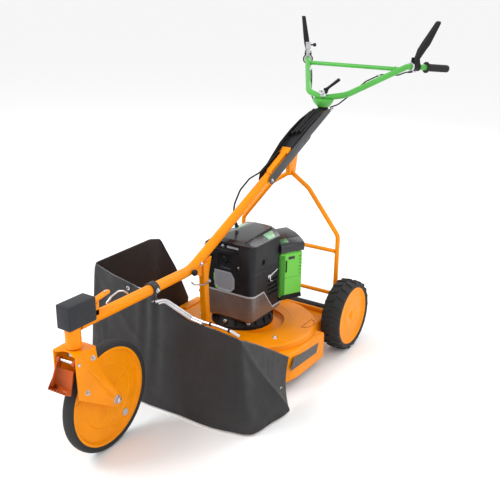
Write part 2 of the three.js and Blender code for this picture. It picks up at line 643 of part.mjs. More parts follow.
function buildCover() {
  const beside = (fromAxle, lift) => [at(fromAxle), upperZ(at(fromAxle)) + lift];
  const lowerEdge = [
    beside(-160, 4), beside(-150, -14), beside(-138, -22), beside(148, -22), beside(156, -14),
    beside(342, -14), [at(344), 900],
  ];
  const leftTop = [[at(272), 898], beside(136, 26), beside(7, 23), beside(-152, 18)];
  const rightTop = [
    [at(276), 899], [at(229), 895], [at(147), 873], [at(68), 842], [at(-7), 804], [at(-66), 762],
    [at(-106), 732], beside(-152, 22),
  ];
  place('cover_left', sidePlate([...lowerEdge, ...leftTop], COVER_IN, COVER_OUT), BLACK);
  place('cover_right', sidePlate([...lowerEdge, ...rightTop], -COVER_OUT, -COVER_IN), BLACK);
  const motorLead = [
    V(-19, at(60), 812), V(-19, at(-60), 756), V(-19, at(-160), 712), V(-24, at(-225), 700),
    V(-26, at(-285), 668), V(-26, at(-322), 622), V(-22, at(-334), 582), V(-16, at(-320), 543),
  ];
  place('motor_lead', bar(motorLead, 3.5, { sides: 8, bend: 40, steps: 2 }), BLACK);
}

// ---------------------------------------------------------------- handlebar
const GRIP_SIDE = V(0.4818, 0.8763, 0);     // level direction of the left grip
const BOWL_LOW = 908;

// A point beside the left grip: s runs along the grip, h is upward, q is outward and forward.
function gripPoint(side, s, h, q = 0) {
  const point = ARM_END.clone().addScaledVector(GRIP_DIR, s);
  point.z += h;
  point.x += q * GRIP_SIDE.y;
  point.y -= q * GRIP_SIDE.x;
  point.x *= side;
  return point;
}

function barLine() {
  const half = [V(90, at(331), 960), ARM_END, gripPoint(1, GRIP_END - 2, 0)];
  const mirrored = half.slice().reverse().map((p) => V(-p.x, p.y, p.z));
  return [...mirrored, V(0, at(297), 943), ...half];
}

const barTube = (radius) => bar(barLine(), radius, { sides: 12, bend: 70, steps: 3 });

function gripRod(side, s0, s1, radius, sides = 12) {
  return bar([gripPoint(side, s0, 0), gripPoint(side, s1, 0)], radius, { sides });
}

// A flat plate in the upright plane of a grip: outline as [s, h], spread from q0 to q1.
// With a lean it tips outward about the height of the lever pivot.
function gripPlate(side, outline, q0, q1, lean = 0) {
  const plate = sidePlate(outline, q0, q1);
  const along = V(GRIP_SIDE.x, GRIP_SIDE.y, 0);
  const across = V(GRIP_SIDE.y, -GRIP_SIDE.x, 0);
  const slope = GRIP_DIR.z / Math.hypot(GRIP_DIR.x, GRIP_DIR.y);
  const back = -lean * LEVER_PIVOT.h;
  plate.applyMatrix4(new THREE.Matrix4().set(
    across.x, along.x, lean * across.x, ARM_END.x + back * across.x,
    across.y, along.y, lean * across.y, ARM_END.y + back * across.y,
    0, slope, 1, ARM_END.z,
    0, 0, 0, 1,
  ));
  if (side < 0) mirrorX(plate);
  return plate;
}

function mirrorX(geometry) {
  geometry.scale(-1, 1, 1);
  const position = geometry.attributes.position;
  for (let i = 0; i < position.count; i += 3) {
    const swap = V(position.getX(i), position.getY(i), position.getZ(i));
    position.setXYZ(i, position.getX(i + 1), position.getY(i + 1), position.getZ(i + 1));
    position.setXYZ(i + 1, swap.x, swap.y, swap.z);
  }
}

function buildHandlebar() {
  const boltWay = bar([V(0, SWIVEL_Y, 850), V(0, SWIVEL_Y, 1000)], 6, { sides: 10 });
  const bowl = turned([[0, BOWL_LOW], [26, BOWL_LOW], [44, 934], [44, 941], [0, 941]], 0, SWIVEL_Y, 20);
  place('handle_tube', cut(join(barTube(BAR_R), bowl), boltWay), GREEN);
  const crossEnds = V(217.7, at(555.3), 1054.9);
  const cross = bar([V(-crossEnds.x, crossEnds.y, crossEnds.z), crossEnds], 9);
  place('handle_crossbar', cut(cross, barTube(BAR_R + GAP), outsideOfArms()), GREEN);

  const seatLow = upperZ(SWIVEL_Y);
  const seat = join(
    turned([[0, seatLow], [20, seatLow], [20, 896], [22, 898], [22, BOWL_LOW - GAP], [0, BOWL_LOW - GAP]],
      0, SWIVEL_Y, 16),
    box(-14, 14, SWIVEL_Y - 24, SWIVEL_Y + 20, seatLow - 6, 898),
  );
  const belowSeat = box(-60, 60, SWIVEL_Y - 60, SWIVEL_Y + 60, 800, seatLow - 1);
  place('swivel_seat', cut(seat, backbone(TUBE_R + GAP), boltWay, belowSeat), BLACK);
  const bolt = join(
    bar([V(0, SWIVEL_Y, 856), V(0, SWIVEL_Y, CAM_Z + 6)], 5.5, { sides: 10 }),
    cut(bar([V(0, SWIVEL_Y, 948), V(0, SWIVEL_Y, 962)], 14, { sides: 14 }), barTube(BAR_R + GAP)),
  );
  const acrossPin = (reach, radius, sides) =>
    bar([V(0, SWIVEL_Y - reach, CAM_Z), V(0, SWIVEL_Y + reach, CAM_Z)], radius, { sides });
  const camPin = acrossPin(13, 3, 10);
  place('clamp_bolt', join(bolt, camPin), ZINC);
  const yoke = sidePlate([[4.3, 965.5], [16.9, 975.3], [8.4, 986.3], [-4.3, 976.5]], -12, 12)
    .rotateZ(-Math.PI / 2)
    .translate(0, SWIVEL_Y, 0);
  const stem = bar([V(9.5, SWIVEL_Y, 978.3), V(71, SWIVEL_Y, 1026)], 7);
  const camEye = join(acrossPin(12, 8.6, 20), yoke, stem);
  place('cam_lever', cut(camEye, acrossPin(6.2, 9.2, 20), acrossPin(30, 3 + GAP, 10)), GREY);

  for (const side of [1, -1]) buildHandEnd(side, side > 0 ? 'left' : 'right');
  const buttonHouse = gripPlate(-1, [[2, 44], [24, 44], [24, 76], [2, 76]], -12, 12);
  const buttonPost = gripPlate(-1, [[4, 15], [16, 15], [16, 50], [4, 50]], -8, 8);
  const buttonBore = bar([gripPoint(-1, 13, 64, 6), gripPoint(-1, 13, 64, -40)], 4);
  place('switch_housing', cut(join(buttonHouse, buttonPost), barTube(BAR_R + GAP), buttonBore), ZINC);
  const button = join(
    bar([gripPoint(-1, 13, 64, -2), gripPoint(-1, 13, 64, -26)], 3.6),
    bar([gripPoint(-1, 13, 64, -22), gripPoint(-1, 13, 64, -36)], 8),
  );
  place('stop_button', button, BLACK);
}

// Everything beyond the arms' centre planes, so the crossbar ends in the arms.
function outsideOfArms() {
  const reach = (side) => box(side > 0 ? 214 : -300, side > 0 ? 300 : -214, at(400), at(700), 900, 1200);
  return join(reach(1), reach(-1));
}

function buildHandEnd(side, label) {
  const flange = gripRod(side, GRIP_START, GRIP_START + 6, 24, 16);
  const grip = join(flange, gripRod(side, GRIP_START, GRIP_END, 16, 16));
  place(`grip_${label}`, cut(grip, gripRod(side, -60, GRIP_END - 1, BAR_R + GAP)), BLACK);
  const collar = gripRod(side, 24, 58, 18);
  const cheeks = join(
    gripPlate(side, [[26, 8], [56, 8], [50, 38], [28, 38]], 11, 15),
    gripPlate(side, [[26, 8], [56, 8], [50, 38], [28, 38]], -15, -11),
  );
  const pivot = (r, q) => bar([
    gripPoint(side, LEVER_PIVOT.s, LEVER_PIVOT.h, -q),
    gripPoint(side, LEVER_PIVOT.s, LEVER_PIVOT.h, q),
  ], r, { sides: 10 });
  place(`lever_mount_${label}`, join(cut(join(collar, cheeks), barTube(BAR_R + GAP)), pivot(3, 17)), BLACK);
  const lever = gripPlate(side, [
    [30, 21], [34, 32], [48, 74], [62, 100], [114, 190], [124, 196], [132, 188], [92, 96], [76, 74],
    [56, 34], [46, 23], [38, 19.5],
  ], -8, 8, LEVER_LEAN);
  place(`hand_lever_${label}`, cut(lever, pivot(3 + GAP, 30)), BLACK);
}

function buildHandCables() {
  const line = (side) => [
    gripPoint(side, 20, -22), gripPoint(side, -10, -26), V(side * 200, at(549), 1030),
    V(side * 168, at(505), 1033), V(side * 143, at(448), 990), V(side * 128, at(396), 966),
    V(side * 72, at(336), 912), V(side * 28, at(306), 905.5),
  ];
  place('cable_left', bar(line(1), 3, { sides: 8, bend: 40, steps: 2 }), BLACK);
  place('cable_right', bar(line(-1), 3, { sides: 8, bend: 40, steps: 2 }), BLACK);
}

buildBackbone();
buildFork();
buildForkPedal();
buildFrontWheel();
buildSwivelLock();
buildDeck();
buildApron();
buildMotorBody();
buildBattery();
buildRotor();
buildRearFrame();
buildRearWheel(1, 'left');
buildRearWheel(-1, 'right');
buildCover();
buildHandlebar();
buildHandCables();

export default mower;
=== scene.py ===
"""Looks of a three-wheeled battery mower for tall grass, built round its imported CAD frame.

Metres, +Z up, front towards -Y, the mower's own left towards +X. Each sub-assembly is a class
that models its pieces with Blender's mesh tools and dresses them in a procedural finish.
"""
import json
import logging
import math
from collections.abc import Callable, Sequence
from dataclasses import dataclass, field
from enum import Enum

import bmesh
import bpy
from mathutils import Matrix, Vector


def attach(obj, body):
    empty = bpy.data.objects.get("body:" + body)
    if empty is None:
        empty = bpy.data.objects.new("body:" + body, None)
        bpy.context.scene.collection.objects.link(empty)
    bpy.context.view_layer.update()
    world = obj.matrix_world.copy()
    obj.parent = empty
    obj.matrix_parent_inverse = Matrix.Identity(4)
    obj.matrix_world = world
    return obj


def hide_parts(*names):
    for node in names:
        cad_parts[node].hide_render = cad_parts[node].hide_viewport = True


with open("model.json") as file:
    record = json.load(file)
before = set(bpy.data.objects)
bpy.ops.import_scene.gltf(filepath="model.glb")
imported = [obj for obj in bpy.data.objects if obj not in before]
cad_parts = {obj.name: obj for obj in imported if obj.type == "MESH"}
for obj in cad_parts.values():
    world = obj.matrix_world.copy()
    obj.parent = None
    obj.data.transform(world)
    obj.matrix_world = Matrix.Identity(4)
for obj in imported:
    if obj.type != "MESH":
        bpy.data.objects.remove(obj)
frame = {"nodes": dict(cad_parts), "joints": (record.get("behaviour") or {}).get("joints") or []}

log = logging.getLogger("mower")
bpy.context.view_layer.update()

Point = tuple[float, float, float]
Outline = Sequence[tuple[float, float]]


def joint_place(name: str) -> Vector:
    """Give the place of a packed joint.

    Args:
        name: the joint's name.

    Returns:
        The joint's point in the row frame.
    """
    return next(Vector(j["pos_m"]) for j in frame["joints"] if j["name"] == name)


AXLE = joint_place("rear_wheel_left_spin")
STEER = joint_place("fork_swivel")
FRONT_AXLE = joint_place("front_wheel_spin")
CUTTER = joint_place("blade_spin")
BAR_SWIVEL = joint_place("handlebar_swivel")
SWIVEL_AT_REST = math.radians(3)
TUBE_R = 0.0175
FRONT_TUBE_Z = 0.4635
BEND_Y = AXLE.y - 0.6255
RISE = 0.4625
GROUND_DUST = 0.12


def at(from_axle: float) -> float:
    """Turn a distance from the rear axle, in metres, into the row frame's y."""
    return AXLE.y + from_axle


def upper_z(y: float) -> float:
    """Height of the upper backbone's centre line at y."""
    return FRONT_TUBE_Z + RISE * (y - BEND_Y)


# ------------------------------------------------------------------------ bench
class Axis(Enum):
    """The three row axes."""

    X = (1, 0, 0)
    Y = (0, 1, 0)
    Z = (0, 0, 1)


def clear_bench() -> None:
    """Leave edit mode and deselect everything."""
    if bpy.context.mode != "OBJECT":
        bpy.ops.object.mode_set(mode="OBJECT")
    bpy.ops.object.select_all(action="DESELECT")


def take(piece: bpy.types.Object) -> bpy.types.Object:
    """Make one piece the only selected and active one."""
    clear_bench()
    piece.select_set(True)
    bpy.context.view_layer.objects.active = piece
    return piece


def settle(piece: bpy.types.Object) -> bpy.types.Object:
    """Put a piece's place, turn and scale into its mesh."""
    take(piece)
    bpy.ops.object.transform_apply(location=True, rotation=True, scale=True)
    return piece


def edit(piece: bpy.types.Object, keep: Callable[[Vector, Vector], bool] | None = None) -> None:
    """Open a piece in edit mode with some or all of its faces selected.

    Args:
        piece: the piece to edit.
        keep: takes a face's middle and normal and says whether it is selected; all if None.
    """
    take(piece)
    bpy.ops.object.mode_set(mode="EDIT")
    bpy.ops.mesh.select_mode(type="FACE")
    bpy.ops.mesh.select_all(action="SELECT" if keep is None else "DESELECT")
    if keep is not None:
        mesh = bmesh.from_edit_mesh(piece.data)
        for face in mesh.faces:
            face.select_set(keep(face.calc_center_median(), face.normal))
        bmesh.update_edit_mesh(piece.data)


def close_edit() -> None:
    """Go back to object mode."""
    bpy.ops.object.mode_set(mode="OBJECT")


def clean(piece: bpy.types.Object, merge: float = 1e-6) -> bpy.types.Object:
    """Merge doubled points and turn all faces outward."""
    edit(piece)
    bpy.ops.mesh.remove_doubles(threshold=merge)
    bpy.ops.mesh.delete_loose()
    bpy.ops.mesh.select_all(action="SELECT")
    bpy.ops.mesh.normals_make_consistent(inside=False)
    close_edit()
    return piece


def modify(piece: bpy.types.Object, kind: str, **values: object) -> bpy.types.Object:
    """Add one modifier, set it and apply it.

    Args:
        piece: the piece to change.
        kind: Blender's modifier type.
        **values: the modifier's settings.

    Returns:
        The same piece.
    """
    take(piece)
    modifier = piece.modifiers.new(kind.lower(), kind)
    for key, value in values.items():
        setattr(modifier, key, value)
    bpy.ops.object.modifier_apply(modifier=modifier.name)
    return piece


def soften(piece: bpy.types.Object, width: float, segments: int = 3, angle: float = 30) -> bpy.types.Object:
    """Round every edge sharper than an angle."""
    return modify(piece, "BEVEL", width=width, segments=segments, limit_method="ANGLE",
                  angle_limit=math.radians(angle), harden_normals=False)


def smooth(piece: bpy.types.Object, angle: float = 35) -> bpy.types.Object:
    """Shade a piece smooth except across sharp edges."""
    take(piece)
    bpy.ops.object.shade_smooth_by_angle(angle=math.radians(angle))
    return piece


def merge(name: str, pieces: Sequence[bpy.types.Object]) -> bpy.types.Object:
    """Join several pieces into one.

    Args:
        name: the name of the joined piece.
        pieces: what is joined; the first one keeps its object.

    Returns:
        The joined piece.
    """
    clear_bench()
    for piece in pieces:
        piece.select_set(True)
    bpy.context.view_layer.objects.active = pieces[0]
    if len(pieces) > 1:
        bpy.ops.object.join()
    pieces[0].name = name
    return pieces[0]


def carve(piece: bpy.types.Object, *tools: bpy.types.Object, add: bool = False) -> bpy.types.Object:
    """Cut tools out of a piece, or weld them to it, and throw the tools away.

    Args:
        piece: the piece that stays.
        *tools: closed meshes.
        add: weld instead of cutting.

    Returns:
        The changed piece.
    """
    for tool in tools:
        modify(piece, "BOOLEAN", object=tool, operation="UNION" if add else "DIFFERENCE", solver="EXACT")
        bpy.data.objects.remove(tool)
    return piece


def ring_points(centre: Vector, along: Vector, radius: float, sides: int, lift: float = 0) -> list[Vector]:
    """Points of a circle round a direction.

    Args:
        centre: the circle's middle.
        along: the direction it faces.
        radius: its radius.
        sides: how many points.
        lift: turns the first point, in radians.

    Returns:
        The points in order.
    """
    turn = along.normalized().to_track_quat("Z", "Y")
    angles = [lift + 2 * math.pi * i / sides for i in range(sides)]
    return [centre + turn @ Vector((radius * math.cos(a), radius * math.sin(a), 0)) for a in angles]


def loft(name: str, sections: Sequence[Sequence[Vector]]) -> bpy.types.Object:
    """Model a closed body by drawing one face and extruding it from section to section.

    Args:
        name: the piece's name.
        sections: rings of points, all with the same count, in the same turning order.

    Returns:
        The closed piece.
    """
    clear_bench()
    bpy.ops.mesh.primitive_circle_add(vertices=len(sections[0]), fill_type="NGON")
    piece = bpy.context.object
    piece.name = name
    for vertex, place in zip(piece.data.vertices, sections[0]):
        vertex.co = place
    take(piece)
    bpy.ops.object.mode_set(mode="EDIT")
    bpy.ops.mesh.select_mode(type="VERT")
    bpy.ops.mesh.select_all(action="SELECT")
    for before, after in zip(sections, sections[1:]):
        bpy.ops.mesh.extrude_region_move(TRANSFORM_OT_translate={"value": (0, 0, 0)})
        mesh = bmesh.from_edit_mesh(piece.data)
        moved = [v for v in mesh.verts if v.select]
        for vertex in moved:
            nearest = min(range(len(before)), key=lambda i: (before[i] - vertex.co).length_squared)
            vertex.co = after[nearest]
        bmesh.update_edit_mesh(piece.data)
    bpy.ops.mesh.select_all(action="SELECT")
    bpy.ops.mesh.normals_make_consistent(inside=False)
    close_edit()
    return piece


def plate(name: str, outline: Outline, low: float, high: float, facing: Axis = Axis.Z) -> bpy.types.Object:
    """Extrude a flat outline.

    Args:
        name: the piece's name.
        outline: corners in the plane across `facing`: (y, z) for X, (x, z) for Y, (x, y) for Z.
        low: where the plate starts along `facing`.
        high: where it ends.
        facing: the direction of its thickness.

    Returns:
        The plate.
    """
    def place(a: float, b: float, depth: float) -> Vector:
        if facing is Axis.X:
            return Vector((depth, a, b))
        if facing is Axis.Y:
            return Vector((a, depth, b))
        return Vector((a, b, depth))

    return loft(name, [[place(a, b, depth) for a, b in outline] for depth in (low, high)])


def block(name: str, low: Point, high: Point, round_by: float = 0, segments: int = 3) -> bpy.types.Object:
    """Add a box between two corners and round its edges."""
    clear_bench()
    size = [b - a for a, b in zip(low, high)]
    middle = [(a + b) / 2 for a, b in zip(low, high)]
    bpy.ops.mesh.primitive_cube_add(size=1, location=middle, scale=size)
    piece = settle(bpy.context.object)
    piece.name = name
    if round_by:
        soften(piece, round_by, segments)
    return piece


def rod(name: str, start: Vector, end: Vector, radius: float, sides: int = 32,
        round_by: float = 0) -> bpy.types.Object:
    """Add a round rod from one point to another, with rounded ends if asked."""
    clear_bench()
    along = end - start
    bpy.ops.mesh.primitive_cylinder_add(
        vertices=sides, radius=radius, depth=along.length, location=(start + end) / 2,
        rotation=along.to_track_quat("Z", "Y").to_euler())
    piece = settle(bpy.context.object)
    piece.name = name
    if round_by:
        soften(piece, round_by, 2, 50)
    return piece


def turned(name: str, profile: Outline, centre: Vector, along: Vector, steps: int = 48) -> bpy.types.Object:
    """Spin a closed profile round an axis.

    Args:
        name: the piece's name.
        profile: (radius, distance along the axis) corners of a closed outline.
        centre: the axis's zero point.
        along: the axis's direction.
        steps: how many steps in the full turn.

    Returns:
        The turned piece.
    """
    turn = along.normalized().to_track_quat("Z", "Y")
    clear_bench()
    bpy.ops.mesh.primitive_circle_add(vertices=len(profile), fill_type="NOTHING")
    piece = bpy.context.object
    piece.name = name
    for vertex, (radius, reach) in zip(piece.data.vertices, profile):
        vertex.co = centre + turn @ Vector((radius, 0, reach))
    take(piece)
    bpy.ops.object.mode_set(mode="EDIT")
    bpy.ops.mesh.select_all(action="SELECT")
    bpy.ops.mesh.spin(steps=steps, angle=2 * math.pi, center=centre, axis=turn @ Vector((0, 0, 1)))
    close_edit()
    return clean(piece, 2e-6)


def arc_route(points: Sequence[Vector], bend: float, steps: int = 10) -> list[Vector]:
    """Round the inner corners of a route.

    Args:
        points: the route's corners.
        bend: the bend radius.
        steps: points in each bend.

    Returns:
        The rounded route.
    """
    route = [points[0]]
    for back, here, ahead in zip(points, points[1:], points[2:]):
        before, after = back - here, ahead - here
        half = before.angle(after) / 2
        reach = min(bend / math.tan(half), before.length * 0.45, after.length * 0.45)
        start, end = here + before.normalized() * reach, here + after.normalized() * reach
        for i in range(steps + 1):
            t = i / steps
            route.append(start * (1 - t) ** 2 + here * 2 * t * (1 - t) + end * t * t)
    route.append(points[-1])
    return route


def tube(name: str, route: Sequence[Vector], radius: float, sides: int = 24) -> bpy.types.Object:
    """Sweep a round section along a route.

    Args:
        name: the piece's name.
        route: points of the centre line.
        radius: the tube's outer radius.
        sides: corners of the section.

    Returns:
        A closed mesh tube.
    """
    line = bpy.data.curves.new(name, "CURVE")
    line.dimensions = "3D"
    spline = line.splines.new("POLY")
    spline.points.add(len(route) - 1)
    for point, place in zip(spline.points, route):
        point.co = (*place, 1)
    line.bevel_depth = radius
    line.bevel_resolution = max(1, sides // 4 - 1)
    line.use_fill_caps = True
    piece = bpy.data.objects.new(name, line)
    bpy.context.scene.collection.objects.link(piece)
    take(piece)
    bpy.ops.object.convert(target="MESH")
    return clean(bpy.context.object)


def weld_bead(name: str, centre: Vector, along: Vector, radius: float, fat: float = 0.0022) -> bpy.types.Object:
    """Lay a rippled ring of weld round a tube joint.

    Args:
        name: the bead's name.
        centre: the middle of the ring.
        along: the tube's direction.
        radius: the ring's radius.
        fat: the bead's mean thickness.

    Returns:
        The bead.
    """
    bead = turned(name, [(radius + fat * math.cos(a), fat * math.sin(a))
                         for a in [math.pi / 3 * i for i in range(6)]], centre, along, 72)
    ripples = 26
    turn = along.normalized().to_track_quat("Z", "Y").inverted()
    for vertex in bead.data.vertices:
        local = turn @ (vertex.co - centre)
        swell = 0.16 * fat * math.sin(ripples * math.atan2(local.y, local.x))
        out = (vertex.co - centre).normalized()
        vertex.co += out * swell
    return bead


def hex_bolt(name: str, seat: Vector, out: Vector, across: float = 0.013, stub: float = 0.003,
             washer: bool = True) -> bpy.types.Object:
    """Model a hexagon bolt head on its washer, with the thread's end.

    Args:
        name: the bolt's name.
        seat: the point on the surface that it stands on.
        out: the direction it points.
        across: width over the flats.
        stub: how far the thread stands out of the head.
        washer: whether it sits on a washer.

    Returns:
        One joined piece.
    """
    out = out.normalized()
    rise = across * 0.1 if washer else 0
    tall = across * 0.55
    parts = []
    if washer:
        parts.append(turned("washer", [(across * 0.3, 0), (across * 0.85, 0), (across * 0.88, rise * 0.4),
                                       (across * 0.84, rise), (across * 0.3, rise)], seat, out, 36))
    head = loft("head", [ring_points(seat + out * depth, out, across / math.sqrt(3) * size, 6)
                         for depth, size in ((rise, 0.97), (rise + tall * 0.12, 1), (rise + tall * 0.85, 1),
                                             (rise + tall, 0.86))])
    parts.append(soften(head, across * 0.03, 2, 20))
    if stub:
        reach = rise + tall + stub
        parts.append(rod("thread", seat + out * rise, seat + out * reach, across * 0.29, 20, across * 0.05))
    return merge(name, parts)


# --------------------------------------------------------------------- finishes
@dataclass(frozen=True)
class Finish:
    """A procedural finish: colour drift, roughness drift, fine grain and ground dust."""

    name: str
    colour: tuple[float, float, float]
    roughness: float
    metallic: float = 0.0
    drift: float = 0.12            # how far the colour wanders, as a share
    drift_scale: float = 9.0
    rough_drift: float = 0.08
    grain: float = 0.12            # strength of the fine bump
    grain_scale: float = 700.0
    waves: float = 0.0             # strength of the slow bump, as orange peel or flow
    waves_scale: float = 90.0
    coat: float = 0.0
    sheen: float = 0.0
    dust: float = 0.25             # how dusty it is near the ground
    scratches: float = 0.0
    specular: float = 0.5

    def nodes(self) -> "NodeBoard":
        """Build the node tree and return its board."""
        board = NodeBoard(self.name)
        self.paint(board)
        return board

    def material(self) -> bpy.types.Material:
        """Give the Blender material, made once."""
        made = bpy.data.materials.get(self.name)
        return made if made else self.nodes().material

    def paint(self, board: "NodeBoard") -> None:
        """Wire the finish.

        Args:
            board: an empty board with its shader.
        """
        place = board.object_place()
        shade = board.noise(place, self.drift_scale, 5, 0.6)
        fine = board.noise(place, self.drift_scale * 9, 4, 0.55)
        dark = tuple(c * (1 - self.drift) for c in self.colour)
        light = tuple(min(1, c * (1 + self.drift * 0.7)) for c in self.colour)
        colour = board.mix(board.stretch(shade, 0.32, 0.68), dark, light)
        colour = board.mix(board.stretch(fine, 0.4, 0.75, 0, 0.3), colour, dark)
        colour = self.weather(board, place, colour)
        board.feed("Base Color", colour)
        rough = board.remap(board.noise(place, self.drift_scale * 3.1, 5, 0.65),
                            0.3, 0.7, self.roughness - self.rough_drift, self.roughness + self.rough_drift)
        board.feed("Roughness", rough)
        board.shader.inputs["Metallic"].default_value = self.metallic
        board.shader.inputs["Specular IOR Level"].default_value = self.specular
        board.shader.inputs["Coat Weight"].default_value = self.coat
        board.shader.inputs["Coat Roughness"].default_value = 0.12
        board.shader.inputs["Sheen Weight"].default_value = self.sheen
        board.feed("Normal", self.relief(board, place))

    def weather(self, board: "NodeBoard", place: object, colour: object) -> object:
        """Lay dust on the lowest parts and faint scratches everywhere."""
        if self.scratches:
            hair = board.noise(board.squeeze(place, (14, 1.2, 3)), 38, 3, 0.5)
            pale = tuple(min(1, c * 1.25 + 0.04) for c in self.colour)
            colour = board.mix(board.stretch(hair, 0.66, 0.74, 0, self.scratches), colour, pale)
        if self.dust:
            low = board.height_fade(place, GROUND_DUST)
            patch = board.stretch(board.noise(place, 16, 6, 0.7), 0.38, 0.72)
            colour = board.mix(board.times(low, patch, self.dust), colour, (0.30, 0.26, 0.20))
        return colour

    def relief(self, board: "NodeBoard", place: object) -> object:
        """Stack the slow and the fine bump."""
        slow = board.noise(place, self.waves_scale, 2, 0.5)
        normal = board.bump(slow, self.waves, 0.0012) if self.waves else None
        return board.bump(board.noise(place, self.grain_scale, 3, 0.55), self.grain, 0.0004, normal)


class NodeBoard:
    """A material with short calls for the nodes that the finishes use."""

    def __init__(self, name: str) -> None:
        """Start a material with only its shader and output."""
        self.material = bpy.data.materials.new(name)
        self.material.use_nodes = True
        self.tree = self.material.node_tree
        self.shader = next(n for n in self.tree.nodes if n.type == "BSDF_PRINCIPLED")

    def add(self, kind: str) -> bpy.types.Node:
        """Add a node of one kind."""
        return self.tree.nodes.new(kind)

    def plug(self, socket: bpy.types.NodeSocket, value: object) -> None:
        """Link an output to a socket, or set the socket's value."""
        if isinstance(value, bpy.types.NodeSocket):
            self.tree.links.new(value, socket)
        elif isinstance(value, tuple) and len(value) == 3 and socket.type == "RGBA":
            socket.default_value = (*value, 1)
        else:
            socket.default_value = value

    def feed(self, name: str, value: object) -> None:
        """Feed one input of the shader."""
        self.plug(self.shader.inputs[name], value)

    def object_place(self) -> bpy.types.NodeSocket:
        """The place of a point on its own object."""
        return self.add("ShaderNodeTexCoord").outputs["Object"]

    def noise(self, place: object, scale: float, detail: float, rough: float,
              distortion: float = 0) -> bpy.types.NodeSocket:
        """Fractal noise from 0 to 1."""
        node = self.add("ShaderNodeTexNoise")
        self.plug(node.inputs["Vector"], place)
        node.inputs["Scale"].default_value = scale
        node.inputs["Detail"].default_value = detail
        node.inputs["Roughness"].default_value = rough
        node.inputs["Distortion"].default_value = distortion
        return node.outputs["Fac"]

    def cells(self, place: object, scale: float, feature: str = "F1") -> bpy.types.NodeSocket:
        """Distance to the nearest of many scattered points."""
        node = self.add("ShaderNodeTexVoronoi")
        node.feature = feature
        self.plug(node.inputs["Vector"], place)
        node.inputs["Scale"].default_value = scale
        return node.outputs["Distance"]

    def wave(self, place: object, scale: float, direction: str = "X", distortion: float = 0) -> bpy.types.NodeSocket:
        """Even bands from 0 to 1 across one direction."""
        node = self.add("ShaderNodeTexWave")
        node.bands_direction = direction
        self.plug(node.inputs["Vector"], place)
        node.inputs["Scale"].default_value = scale
        node.inputs["Distortion"].default_value = distortion
        return node.outputs["Fac"]

    def squeeze(self, place: object, scale: Point) -> bpy.types.NodeSocket:
        """Stretch a pattern by scaling its coordinates."""
        node = self.add("ShaderNodeMapping")
        self.plug(node.inputs["Vector"], place)
        node.inputs["Scale"].default_value = scale
        return node.outputs["Vector"]

    def remap(self, value: object, low: float, high: float, to_low: float, to_high: float) -> bpy.types.NodeSocket:
        """Map a range onto another, clamped."""
        node = self.add("ShaderNodeMapRange")
        self.plug(node.inputs["Value"], value)
        node.inputs["From Min"].default_value = low
        node.inputs["From Max"].default_value = high
        node.inputs["To Min"].default_value = to_low
        node.inputs["To Max"].default_value = to_high
        return node.outputs["Result"]

    def stretch(self, value: object, low: float, high: float, to_low: float = 0,
                to_high: float = 1) -> bpy.types.NodeSocket:
        """Sharpen a value between two levels."""
        return self.remap(value, low, high, to_low, to_high)

    def times(self, first: object, second: object, third: object = 1.0) -> bpy.types.NodeSocket:
        """Multiply three values."""
        result = first
        for factor in (second, third):
            node = self.add("ShaderNodeMath")
            node.operation = "MULTIPLY"
            self.plug(node.inputs[0], result)
            self.plug(node.inputs[1], factor)
            result = node.outputs[0]
        return result

    def plus(self, first: object, second: object) -> bpy.types.NodeSocket:
        """Add two values."""
        node = self.add("ShaderNodeMath")
        self.plug(node.inputs[0], first)
        self.plug(node.inputs[1], second)
        return node.outputs[0]

    def mix(self, share: object, first: object, second: object) -> bpy.types.NodeSocket:
        """Blend two colours."""
        node = self.add("ShaderNodeMix")
        node.data_type = "RGBA"
        self.plug(node.inputs[0], share)
        self.plug(node.inputs[6], first)
        self.plug(node.inputs[7], second)
        return node.outputs[2]

    def part(self, place: object, axis: str) -> bpy.types.NodeSocket:
        """One coordinate of a place."""
        node = self.add("ShaderNodeSeparateXYZ")
        self.plug(node.inputs[0], place)
        return node.outputs[axis]

    def height_fade(self, place: object, top: float) -> bpy.types.NodeSocket:
        """1 at the ground, fading to 0 at a height."""
        return self.remap(self.part(place, "Z"), 0.0, top, 1, 0)

    def bump(self, height: object, strength: float, distance: float, normal: object = None) -> bpy.types.NodeSocket:
        """Turn a height into a normal."""
        node = self.add("ShaderNodeBump")
        node.inputs["Strength"].default_value = strength
        node.inputs["Distance"].default_value = distance
        self.plug(node.inputs["Height"], height)
        if normal is not None:
            self.plug(node.inputs["Normal"], normal)
        return node.outputs["Normal"]


@dataclass(frozen=True)
class ZincFinish(Finish):
    """Bright zinc plate: spangled, brushed along its length and a little clouded."""

    def relief(self, board: NodeBoard, place: object) -> object:
        """Fine drawn lines over a crystal spangle."""
        spangle = board.bump(board.cells(place, 260), 0.10, 0.0004)
        lines = board.noise(board.squeeze(place, (1, 1, 26)), 90, 3, 0.6)
        return board.bump(lines, self.grain, 0.0003, spangle)


@dataclass(frozen=True)
class ClothFinish(Finish):
    """Coated guard cloth: a close weave under a dull film."""

    thread: float = 0.0016         # width of one thread

    def relief(self, board: NodeBoard, place: object) -> object:
        """A plain weave on the cloth's own map, over soft puckers."""
        uv = board.add("ShaderNodeUVMap").outputs["UV"]
        turns = 1 / self.thread / 2 / math.pi
        warp = board.wave(uv, turns, "X")
        weft = board.wave(uv, turns, "Y")
        weave = board.times(warp, weft)
        pucker = board.bump(board.noise(place, 22, 4, 0.6, 0.6), 0.35, 0.006)
        return board.bump(weave, self.grain, 0.0005, pucker)


